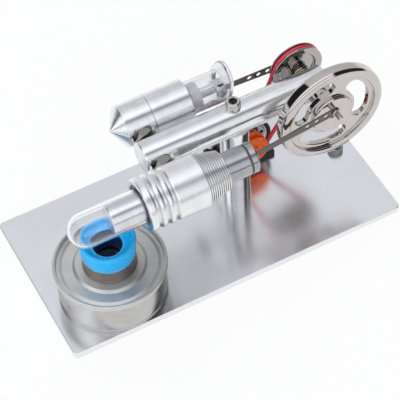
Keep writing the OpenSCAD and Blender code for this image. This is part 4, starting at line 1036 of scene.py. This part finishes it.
def power_piston():
    radius, start, end, _ = round_of("power_piston", "X")
    floor_r = radius - RING_DEPTH
    inner = radius - PISTON_WALL
    corners = [(0, start), (radius, start, 0.3)]
    for share in RING_SHARES:
        x = start + share * (end - start)
        corners += [(radius, x - RING_HALF, RING_EDGE), (floor_r, x - RING_FLOOR, RING_EDGE),
                    (floor_r, x + RING_FLOOR, RING_EDGE), (radius, x + RING_HALF, RING_EDGE)]
    corners += [(radius, end, 0.3), (inner, end), (inner, start + PISTON_HEAD, 0.5), (0, start + PISTON_HEAD)]
    turned_piece("power_piston", corners, "X", REAR, "ground")


def piston_fork():
    """The fork on the piston and the screw that holds the con rod in it."""
    low, high = span("piston_lug")
    at, size = middle("piston_lug"), 2 * half("piston_lug")
    pin = middle("piston_wrist_screw")
    head_r, screw_low, screw_high, centre = round_of("piston_wrist_screw", "Y")
    back = pin.x - EYE_BACK
    lug = turned("piston_lug_piece", bar(size.z / 2, low.x, pin.x - LUG_NECK), "X", REAR, 0.2, 96)
    eye = flat("eye", [rounded_box(high.x - back, size.z, EYE_CORNER)], size.y, EYE_EDGE,
               upright("Y", (high.x + back) / 2, AXIS_Z, at.y))
    lug = combined(lug, eye, "UNION")
    lug = slotted(lug, pin.x - LUG_SLOT_BACK, high.x + OVERRUN, middle("power_conrod").y)
    lug = drilled(lug, WRIST_R + SEAT_FIT, screw_low - OVERRUN, screw_high, "Y", centre, 48)
    done(lug, "piston_lug", "cylinder")
    seat = screw_low + WRIST_HEAD_H
    screw = turned("piston_wrist_screw_piece",
                   [(0, screw_low), (head_r, screw_low, 0.3), (head_r, seat), (WRIST_R, seat, 0),
                    (WRIST_R, screw_high), (0, screw_high)], "Y", centre, 0.1, 64)
    groove = flat("groove", [rounded_box(4 * head_r, DRIVER_SLOT, RING_EDGE)], 2 * DRIVER_SLOT_DEPTH, 0,
                  upright("Y", pin.x, AXIS_Z, screw_low))
    done(combined(screw, groove), "piston_wrist_screw", "screw")


# Generator, belt and lamp

CAN_WALL = 0.8
DISH_IN_R = 5.6
DISH_OUT_R = 9
DISH_SLOPE = 0.4
DISH_DEPTH = 0.25
MOTOR_HOLE_R = 1
MOTOR_HOLES_R = 7.25
MOTOR_HOLE_TURN = 11
END_RECESS_R = 3.2
END_RECESS = 0.3


def generator():
    """The motor's can, dished in front with two screw holes, and its end cap."""
    radius, front, back, _ = round_of("motor_can", "Y")
    bush_r = half("motor_bearing").x
    inner, wall = radius - CAN_WALL, front + CAN_WALL
    dish = front + DISH_DEPTH
    corners = [(bush_r, front), (DISH_IN_R, front, 0.1), (DISH_IN_R + DISH_SLOPE, dish, 0.2),
               (DISH_OUT_R - DISH_SLOPE, dish, 0.2), (DISH_OUT_R, front, 0.1), (radius, front, 0.7),
               (radius, back, 0.1), (inner, back, 0.1), (inner, wall, 0), (bush_r, wall, 0)]
    can = turned("motor_can_piece", corners, "Y", MOTOR, 0.15)
    for hole in arc(MOTOR_HOLES_R, math.radians(MOTOR_HOLE_TURN), math.pi, 1, *MOTOR):
        can = drilled(can, MOTOR_HOLE_R, front - OVERRUN, wall + OVERRUN, "Y", hole, 48)
    done(can, "motor_can", "motor")
    _, low, high, _ = round_of("motor_end_cap", "Y")
    turned_piece("motor_end_cap", [(0, low), (radius, low, 0.1), (radius, high, 0.5), (END_RECESS_R, high),
                                   (END_RECESS_R, high - END_RECESS), (0, high - END_RECESS)],
                 "Y", MOTOR, "black", 0.2, 128)


BELT_Y = 11.6
BELT_D = 1.8
BELT_SINK = 0.1
BELT_GAP = 0.15
BELT_SIDES = 20
PULLEY_Y = 12.2
GROOVE_HALF = 1.05
GROOVE_TAPER_SHARE = 0.9
PULLEY_HUB_R = 2.2
PULLEY_RIM_R = 4.7
PULLEY_RECESS = 0.84


def groove_corners(radius, mid):
    """Corners of a round belt groove in a wheel's rim, from low to high along Y."""
    root = radius - BELT_SINK - BELT_D - BELT_GAP
    lip, floor_half = GROOVE_HALF + BELT_GAP, GROOVE_HALF * GROOVE_TAPER_SHARE
    return [(radius, mid - lip, 0.12), (root, mid - floor_half, 0.7), (root, mid + floor_half, 0.7),
            (radius, mid + lip, 0.12)]


def motor_pulley():
    radius, low, high, _ = round_of("motor_pulley", "Y")
    recess = low + PULLEY_RECESS
    corners = [(SHAFT_SEAT_R, low), (PULLEY_HUB_R, low), (PULLEY_HUB_R, recess, 0.2),
               (PULLEY_RIM_R, recess, 0.25), (PULLEY_RIM_R, low), (radius, low, 0.35)]
    corners += groove_corners(radius, PULLEY_Y) + [(radius, high, 0.35), (SHAFT_SEAT_R, high)]
    turned_piece("motor_pulley", corners, "Y", MOTOR, "orange", 0.15)


FOOT_THICK = 2.2
FOOT_CORNER = 1.2
HOLDER_EDGE = 0.3
HOLDER_WALL = 1.2
HOLDER_LEAD = 0.36
RING_WIDTH = 9.6
PILLAR_SHARE = 0.7
PILLAR_IN = 0.5
HOLDER_SHANK_R = 0.98
HOLDER_HEAD_H = 1.5
HOLDER_SOCKET_R = 0.95
HOLDER_SOCKET_DEPTH = 0.75


def holder_screw_centres():
    at, size = middle("holder_screws"), half("holder_screws")
    return [(at.x, at.y + side * (size.y - size.x)) for side in (-1, 1)]


def motor_holder():
    """A ring round the can on a pillar and a foot, with two screw holes."""
    size, at = 2 * half("motor_holder"), middle("motor_holder")
    can_r, front, _, _ = round_of("motor_can", "Y")
    bore = can_r + SEAT_FIT
    ring_r = bore + HOLDER_WALL
    start = front - HOLDER_LEAD
    holder = turned("motor_holder_piece", bar(ring_r, start, start + RING_WIDTH), "Y", MOTOR, HOLDER_EDGE)
    foot = flat("foot", [rounded_box(size.x, size.y, FOOT_CORNER)], FOOT_THICK, HOLDER_EDGE,
                upright("Z", at.x, at.y, PLATE_TOP + FOOT_THICK / 2))
    top, bottom = MOTOR[1] - can_r / 2, PLATE_TOP + HOLDER_EDGE
    pillar = flat("pillar", [rounded_box(2 * PILLAR_SHARE * ring_r, top - bottom, HOLDER_EDGE)],
                  RING_WIDTH - PILLAR_IN, HOLDER_EDGE,
                  upright("Y", MOTOR[0], (top + bottom) / 2, start + RING_WIDTH / 2))
    holder = combined(combined(holder, foot, "UNION"), pillar, "UNION")
    holder = drilled(holder, bore, start - OVERRUN, at.y + size.y / 2 + OVERRUN, "Y", MOTOR)
    hole_r = HOLDER_SHANK_R + 2 * SEAT_FIT
    for centre in holder_screw_centres():
        holder = drilled(holder, hole_r, 0, PLATE_TOP + FOOT_THICK + OVERRUN, "Z", centre, 48)
    done(holder, "motor_holder", "black")


def holder_screws():
    head_r, low, top, _ = round_of("holder_screws", "Z")
    seat = top - HOLDER_HEAD_H
    screws = None
    for centre in holder_screw_centres():
        screw = turned("holder_screws_piece",
                       [(0, low), (HOLDER_SHANK_R, low), (HOLDER_SHANK_R, seat, 0), (head_r, seat),
                        (head_r, top, 0.5), (0, top)], "Z", centre, 0.15, 64)
        screw = drilled(screw, HOLDER_SOCKET_R, top - HOLDER_SOCKET_DEPTH, top + OVERRUN, "Z", centre, 6)
        screws = combined(screws, screw, "UNION") if screws else screw
    done(screws, "holder_screws", "screw")


def drive_belt():
    """A round belt over both wheels, straight between them."""
    wheel_r, pulley_r = (half(node).x - BELT_SINK - BELT_D / 2 for node in ("belt_wheel", "motor_pulley"))
    run = Vector(MOTOR) - Vector(CRANK)
    heading = math.atan2(run.y, run.x)
    lean = math.asin((wheel_r - pulley_r) / run.length)
    quarter = math.pi / 2
    over = arc(wheel_r, heading + quarter - lean, 2 * (quarter + lean), 72, *CRANK)
    under = arc(pulley_r, heading - quarter + lean, 2 * (quarter - lean), 48, *MOTOR)
    points = [(x, BELT_Y, z) for x, z in over] + [(x, PULLEY_Y, z) for x, z in under]
    line = bpy.data.curves.new("drive_belt_line", "CURVE")
    line.dimensions = "3D"
    spline = line.splines.new("POLY")
    spline.points.add(len(points) - 1)
    for point, place in zip(spline.points, points):
        point.co = (*(c * MM for c in place), 1)
    spline.use_cyclic_u = True
    belt = repeated(linked("drive_belt_piece", line), sweep_tree("belt_sweep", finishes["belt"]),
                    {"Radius": BELT_D / 2 * MM, "Sides": BELT_SIDES})
    done(belt, "drive_belt", "belt")


LAMP_R = 2
LAMP_SEAT = 1.1
LAMP_COLLAR = 0.6


def lamp_and_socket():
    radius, low, top, centre = round_of("lamp_socket", "Z")
    hole_r, floor_z = LAMP_R + SEAT_FIT, top - LAMP_SEAT
    turned_piece("lamp_socket", [(0, low), (radius, low, 0.1), (radius, top, 0.4), (hole_r, top),
                                 (hole_r, floor_z, 0), (0, floor_z, 0)], "Z", centre, "socket", 0.2, 96)
    collar_r, foot, tip, _ = round_of("lamp", "Z")
    collar = top + LAMP_COLLAR
    corners = round_end(LAMP_R, tip, 12, -1) + [(LAMP_R, collar), (collar_r, collar), (collar_r, top),
                                                (LAMP_R, top, 0), (LAMP_R, foot), (0, foot)]
    turned_piece("lamp", corners, "Z", centre, "lamp", 0.1, 96)


# Crank

FLY_WIDTH = 6
FLY_RIM = 3.8
FLY_HUB_R = 9
FLY_BOSS_R = 4
FLY_WEB = 2.8
FLY_WEB_DEPTH = 1.6
WEB_EDGE = 0.55
WEB_LAP = 0.6
ROOT_REACH = 1
ROOT_IN = 0.1
WINDOWS = 3
WINDOW_WIDTH = 6.4
WINDOW_HALF = 34
WINDOW_TURN = 11.5
WINDOW_OUT_SHARE = 0.05
WINDOW_STEPS = 20
WINDOW_END_STEPS = 12


def window_outline(radius, turn):
    """A kidney-shaped window about the axis, at a radius and turned to its place."""
    reach = math.radians(WINDOW_HALF)
    points = []
    for way in (1, -1):
        end = turn + way * reach
        points += arc(radius + way * WINDOW_WIDTH / 2, turn - way * reach, 2 * way * reach, WINDOW_STEPS)
        centre = (radius * math.cos(end), radius * math.sin(end))
        outward = end if way > 0 else end + math.pi
        points += arc(WINDOW_WIDTH / 2, outward, math.pi, WINDOW_END_STEPS, *centre)[1:-1]
    return points


def flywheel():
    """Rim, windowed web and hub, joined to one wheel."""
    radius, front, back, _ = round_of("flywheel", "Y")
    rim_end = front + FLY_WIDTH
    web_front = front + FLY_WEB_DEPTH
    web_back = web_front + FLY_WEB
    root_front, root_back = web_front + ROOT_IN, web_back - ROOT_IN
    rim_r = radius - FLY_RIM
    bore = AXLE_R + SEAT_FIT
    rim_root, hub_root = rim_r - ROOT_REACH, FLY_HUB_R + ROOT_REACH
    corners = [(rim_root, root_front), (rim_r, root_front, 0.9), (rim_r, front, 1.5), (radius, front, 2),
               (radius, rim_end, 1.6), (rim_r, rim_end, 1.4), (rim_r, root_back, 0.8), (rim_root, root_back)]
    rim = turned("flywheel_piece", corners, "Y", CRANK, 0, 224)
    corners = [(bore, front, 0.15), (FLY_HUB_R, front, 0.9), (FLY_HUB_R, root_front, 0.7),
               (hub_root, root_front, 0), (hub_root, root_back, 0), (FLY_BOSS_R, root_back, 0.6),
               (FLY_BOSS_R, back, 0.4), (bore, back, 0.1)]
    hub = turned("hub", corners, "Y", CRANK)
    mid_r = (FLY_HUB_R + rim_r) / 2 - WINDOW_OUT_SHARE * FLY_RIM
    outlines = [circle(rim_r + WEB_LAP, count=128), circle(FLY_HUB_R - WEB_LAP, count=96)]
    outlines += [window_outline(mid_r, math.radians(WINDOW_TURN + 360 / WINDOWS * i)) for i in range(WINDOWS)]
    web = flat("web", outlines, FLY_WEB, WEB_EDGE, upright("Y", *CRANK, (web_front + web_back) / 2))
    done(combined(combined(rim, web, "UNION"), hub, "UNION"), "flywheel", "nickel")


WHEEL_WIDTH = 3.6
WHEEL_DISH = 1.2
WHEEL_RIM = 3.2
WHEEL_HUB_R = 3.7


def belt_wheel():
    radius, low, high, _ = round_of("belt_wheel", "Y")
    rim_low = high - WHEEL_WIDTH
    dish = rim_low + WHEEL_DISH
    rim_in = radius - WHEEL_RIM
    bore = AXLE_R + SEAT_FIT
    corners = [(bore, low, 0.1), (WHEEL_HUB_R, low, 0.4), (WHEEL_HUB_R, dish, 0.5), (rim_in, dish, 0.5),
               (rim_in, rim_low, 0.35), (radius, rim_low, 0.3)]
    corners += groove_corners(radius, BELT_Y) + [(radius, high, 0.3), (bore, high, 0.1)]
    wheel = turned("belt_wheel_piece", corners, "Y", CRANK, 0.2, FINE_AROUND)
    grub_r, _, _, centre = round_of("belt_wheel_grub_screw", "Z")
    hub_top = AXIS_Z + WHEEL_HUB_R
    wheel = drilled(wheel, grub_r + SEAT_FIT, AXIS_Z + AXLE_R, hub_top + OVERRUN, "Z", centre, 32)
    done(wheel, "belt_wheel", "wheel")


GRUB_SOCKET_SHARE = 0.5
GRUB_SOCKET_DEPTH = 0.8


def grub_screws():
    for node in ("flywheel_grub_screw", "belt_wheel_grub_screw"):
        radius, low, top, centre = round_of(node, "Z")
        screw = turned(node + "_piece", bar(radius, low, top), "Z", centre, 0.12, 48)
        socket_r = radius * GRUB_SOCKET_SHARE
        screw = drilled(screw, socket_r, top - GRUB_SOCKET_DEPTH, top + OVERRUN, "Z", centre, 6)
        done(screw, node, "dark_screw")


# Connecting rods

STRIP_BIG_R = 1.95
STRIP_SMALL_R = 1.3
STRIP_THICK = 0.6
STRIP_EDGE = 0.1
STRIP_HOLES = 3
STRIP_PITCH = 4.2
STRIP_HOLE_R = 1
STRIP_END_STEPS = 24
PIN_BUSH_R = 1.18
PIN_COLLAR_R = 1.56
PIN_COLLAR_H = 0.8


def strip(node, wrist, pin, first_hole):
    """A perforated strip that widens from its small end to its crank pin."""
    run = pin - wrist
    length = math.hypot(run.x, run.z)
    outline = arc(STRIP_SMALL_R, math.pi / 2, math.pi, STRIP_END_STEPS)
    outline += arc(STRIP_BIG_R, -math.pi / 2, math.pi, STRIP_END_STEPS, length)
    holes = [circle(WRIST_R + RUN_FIT, 0, 0, 32), circle(PIN_BUSH_R + SEAT_FIT, length, 0, 40)]
    holes += [circle(STRIP_HOLE_R, length - first_hole - i * STRIP_PITCH, 0, 40) for i in range(STRIP_HOLES)]
    tilt = Matrix.Rotation(math.atan2(run.z, run.x), 4, "Z")
    place = upright("Y", wrist.x, wrist.z, middle(node).y) @ tilt
    done(flat(node + "_piece", [outline] + holes, STRIP_THICK, STRIP_EDGE, place), node, "strip")


def rod_bush(node, pin, side):
    """The stub on a crank pin: a collar next to the strip, then a plain end on the given side of it."""
    low, high = (corner.y for corner in span(node))
    near, far = (low, high) if side > 0 else (high, low)
    collar, collar_end = (near + side * PIN_COLLAR_H * i for i in (1, 2))
    corners = [(0, far), (PIN_BUSH_R, far, 0.3), (PIN_BUSH_R, collar_end), (PIN_COLLAR_R, collar_end, 0.15),
               (PIN_COLLAR_R, collar), (PIN_BUSH_R, collar, 0), (PIN_BUSH_R, near), (0, near)]
    turned_piece(node, corners, "Y", (pin.x, pin.z), "screw", 0.1, 64)


def connecting_rods():
    for node, wrist, pin, first_hole, bush, side in (
            ("displacer_conrod", "displacer_wrist_pin", "front_crank_pin", 4.2, "displacer_rod_bush", -1),
            ("power_conrod", "piston_wrist_screw", "rear_crank_pin", 5.1, "power_rod_bush", 1)):
        strip(node, middle(wrist), middle(pin), first_hole)
        rod_bush(bush, middle(pin), side)


# Burner

SHEET = 0.5
BEAD_DEPTH = 0.35
BEAD_LOW = 0.9
BEAD_MIDDLE = 1.5
BEAD_HIGH = 2.2


def fuel_can():
    """A tin with a rolled bead above its foot."""
    radius, low, high, _ = round_of("fuel_can", "Z")
    inner, floor_z = radius - SHEET, low + SHEET
    turned_piece("fuel_can", [(0, floor_z), (inner, floor_z, 0.6), (inner, high, 0), (radius, high, 0),
                              (radius, low + BEAD_HIGH), (radius - BEAD_DEPTH, low + BEAD_MIDDLE),
                              (radius, low + BEAD_LOW), (radius, low, 0.5), (0, low)],
                 "Z", BURNER, "tin", 0.4, 224)


SEAM_W = 1.3
STEP_SHARE = 0.63
STEP_OUT = 0.5
STEP_IN = 0.6
PANEL_DROP = 1.5
COLLAR_DROP = 0.7
LID_LAP = 1


def can_lid():
    """The rolled seam, a trough inside it, the panel and its raised middle, then back under the sheet."""
    rim, low, top, _ = round_of("can_lid", "Z")
    seam_in = rim - SEAM_W
    trough = seam_in - SEAM_W
    shoulder = trough - SEAM_W
    step_r = STEP_SHARE * rim
    rise = step_r - STEP_IN
    panel, collar = top - PANEL_DROP, top - COLLAR_DROP
    hole = half("burner_neck").x - LID_LAP
    upper = [(rim, low, 0.5), (rim, top, 0.62), (seam_in, top, 0.6), (seam_in, low + SHEET, 0.35),
             (trough, low + SHEET, 0.4), (shoulder, panel, 0.6), (step_r + STEP_OUT, panel, 0.5),
             (rise, collar, 0.5), (hole, collar, 0.1)]
    under = [(hole, collar - SHEET, 0.1), (rise, collar - SHEET, 0.4), (step_r, panel - SHEET, 0.4),
             (shoulder - SHEET, panel - SHEET, 0.5), (trough, low, 0.3)]
    turned_piece("can_lid", upper + under, "Z", BURNER, "lid", 0.3, 224)


SPOUT_R = 9.4
SPOUT_H = 3.8
NECK_WALL = 1
NECK_FOOT = 0.8
WAIST_Z = 1.5
WAIST_IN = 0.35
SHOULDER_IN = 0.2


def burner_neck():
    radius, low, high, _ = round_of("burner_neck", "Z")
    wick_hole = half("wick").x + SEAT_FIT
    shoulder, inner = high - SPOUT_H, SPOUT_R - NECK_WALL
    corners = [(wick_hole, low), (radius, low), (radius, low + NECK_FOOT, 0.3),
               (radius - WAIST_IN, low + WAIST_Z, 0.5), (radius - SHOULDER_IN, shoulder, 0.4),
               (SPOUT_R, shoulder), (SPOUT_R, high), (inner, high), (inner, low + NECK_WALL),
               (wick_hole, low + NECK_WALL)]
    turned_piece("burner_neck", corners, "Z", BURNER, "neck", 0.2, FINE_AROUND)


CAP_FIT = 0.3
CAP_TAPER = 0.7
CAP_FOOT = ((0, 0, 0.4), (0.1, 1.2, 1.0))
CAP_LIP = ((0, -1, 0.6), (-0.5, 0, 0.5), (-1.6, -0.1, 0.5), (-2.2, -1.6, 1.0))
DISH_DROP = 4
DISH_RIM = ((0.9, 0, 0.8), (0, -0.1, 0.35))
CAP_HOLE_R = 5.9
CAP_TUBE_WALL = 1
# Sizes of a thin navy sleeve inside the cap's hole: painted shade for the blue plastic in shadow there.
PAINTED_HOLE_SHADE_GAP = 0.01
PAINTED_HOLE_SHADE_THICK = 0.14
PAINTED_HOLE_SHADE_LOW = 0.2
PAINTED_HOLE_SHADE_DROP = 0.7


def burner_cap():
    """A dished plug with a tube through it; the foot, lip and dish rim are offsets with edge radii."""
    radius, low, top, _ = round_of("burner_cap", "Z")
    neck_top = span("burner_neck")[1].z
    inner, roof = SPOUT_R + CAP_FIT, neck_top + CAP_FIT
    foot = neck_top - SPOUT_H
    dish = top - DISH_DROP
    tube_r = CAP_HOLE_R + CAP_TUBE_WALL
    corners = [(inner, foot)]
    for r, z, offsets in ((radius - CAP_TAPER, foot, CAP_FOOT), (radius, top, CAP_LIP),
                          (CAP_HOLE_R, dish, DISH_RIM)):
        corners += [(r + out, z + up, edge) for out, up, edge in offsets]
    corners += [(CAP_HOLE_R, low, 0.3), (tube_r, low, 0.3), (tube_r, roof), (inner, roof)]
    turned_piece("burner_cap", corners, "Z", BURNER, "blue", 0.2, FINE_AROUND)
    # A thin navy sleeve just inside the hole: painted shade, not a real lining.
    painted_hole_shade_r = CAP_HOLE_R - PAINTED_HOLE_SHADE_GAP
    painted_hole_shade = turned("burner_cap_hole_painted_shade",
                    bar(painted_hole_shade_r, low + PAINTED_HOLE_SHADE_LOW, dish - PAINTED_HOLE_SHADE_DROP, painted_hole_shade_r - PAINTED_HOLE_SHADE_THICK), "Z", BURNER,
                    0.03, 96)
    done(painted_hole_shade, "burner_cap", "painted_shade_navy", trim=True)


# Nodes that keep their own mesh

KEPT = {
    "motor_magnets": "magnet",
    "motor_terminals": "brass",
}


def keep_nodes():
    for node, finish in KEPT.items():
        mesh = frame["nodes"][node].data
        mesh.materials.clear()
        mesh.materials.append(finishes[finish])


# Floor and light

FLOOR_HALF = 1500
FLOOR_WHITE = 0.9
SKY_STOPS = [
    (0.0, 0.9), (0.17, 0.85), (0.43, 0.55), (0.485, 0.3), (0.505, 0.3), (0.535, 1.25),
    (0.6, 1.2), (0.635, 0.85), (0.66, 0.42), (0.68, 0.42), (0.7, 1.1), (0.735, 1.6),
    (0.77, 1.3), (0.82, 0.8), (0.86, 0.68), (0.97, 0.68), (1.0, 0.9),
]
SKY_TOP = 1.6
SKY_LEVEL = 1.08
SKY_TINT = (0.94, 0.96, 1.0, 1)
DIFFUSE_SHARE = 1.45
CARDS = (((-0.38, -0.43), (0.36, 0.42), (0.02, 0.08)), ((0.32, 0.4), (0.32, 0.2), (0.0, 0.06)))
CARD_DARKNESS = 0.97


def floor():
    """White paper: plain white to the camera and in mirrors, matt to the light."""
    corners = [(a * FLOOR_HALF, b * FLOOR_HALF, 0) for a, b in ((-1, -1), (1, -1), (1, 1), (-1, 1))]
    mesh = mesh_of("floor", corners, [(0, 1, 2, 3)])
    tree = finish_tree("floor")
    paths = add(tree, "ShaderNodeLightPath").outputs
    seen = maths(tree, "MAXIMUM", paths["Is Camera Ray"], paths["Is Glossy Ray"])
    seen = maths(tree, "MAXIMUM", seen, paths["Is Transmission Ray"])
    fibres = noise(tree, place_of(tree), 0.4, 2)
    paper = ramp(tree, fibres, [(0.3, 0.86), (0.7, 0.88)])
    matt = add(tree, "ShaderNodeBsdfDiffuse", {"Color": paper})
    light = add(tree, "ShaderNodeEmission", {"Strength": 1.0})
    share = maths(tree, "MULTIPLY", seen, FLOOR_WHITE)
    mixed = add(tree, "ShaderNodeMixShader", {0: share, 1: matt.outputs[0], 2: light.outputs[0]})
    end_tree(tree, "ShaderNodeOutputMaterial", mixed)
    mesh.materials.append(finishes["floor"])
    linked("floor", mesh)


def studio():
    """White to the camera; to all else two long soft boxes over the engine, dark gaps and two dark cards.

    A card covers the directions whose x, y and z lie past its three pairs, which are its soft edges.
    """
    world = bpy.data.worlds.new("studio")
    bpy.context.scene.world = world
    world.use_nodes = True
    tree = world.node_tree
    tree.nodes.clear()
    ray = add(tree, "ShaderNodeTexCoord").outputs["Generated"]
    x, y, z = add(tree, "ShaderNodeSeparateXYZ", {0: ray}).outputs
    angle = maths(tree, "ARCTAN2", z, maths(tree, "MULTIPLY", y, -1.0))
    share = between(tree, angle, -math.pi, math.pi)
    stops = [(place, min(1.0, value / SKY_TOP)) for place, value in SKY_STOPS]
    boxes = ramp(tree, share, stops, smooth=False)
    level = maths(tree, "MULTIPLY", boxes, SKY_TOP * SKY_LEVEL)
    dark = 0.0
    for edges in CARDS:
        card = 1.0
        for part, (none, full) in zip((x, y, z), edges):
            card = maths(tree, "MULTIPLY", card, between(tree, part, none, full))
        dark = maths(tree, "MAXIMUM", dark, card)
    level = maths(tree, "MULTIPLY", level, maths(tree, "MULTIPLY_ADD", dark, -CARD_DARKNESS, 1.0))
    paths = add(tree, "ShaderNodeLightPath").outputs
    lift = maths(tree, "MULTIPLY_ADD", paths["Is Diffuse Ray"], DIFFUSE_SHARE - 1, 1.0)
    level = maths(tree, "MULTIPLY", level, lift)
    straight = maths(tree, "LESS_THAN", paths["Glossy Depth"], 0.5)
    straight = maths(tree, "MULTIPLY", straight, paths["Is Transmission Ray"])
    white = maths(tree, "MAXIMUM", paths["Is Camera Ray"], straight)
    inside = add(tree, "ShaderNodeBackground", {"Color": SKY_TINT, "Strength": level})
    outside = add(tree, "ShaderNodeBackground", {"Color": (1, 1, 1, 1), "Strength": 1.0})
    mixed = add(tree, "ShaderNodeMixShader", {0: white, 1: inside.outputs[0], 2: outside.outputs[0]})
    end_tree(tree, "ShaderNodeOutputWorld", mixed)


def main():
    make_camera()
    make_finishes()
    plain_bars()
    base_plate()
    base_screw()
    support_column()
    main_beam()
    axle_bushes()
    beam_screw()
    cooler_body()
    glass_tube()
    guide()
    displacer()
    spacer_nuts()
    power_cylinder()
    glass_barrel()
    power_piston()
    piston_fork()
    generator()
    motor_pulley()
    motor_holder()
    holder_screws()
    drive_belt()
    lamp_and_socket()
    flywheel()
    belt_wheel()
    grub_screws()
    connecting_rods()
    fuel_can()
    can_lid()
    burner_neck()
    burner_cap()
    keep_nodes()
    floor()
    studio()
    bpy.context.scene.view_settings.view_transform = "Standard"


main()
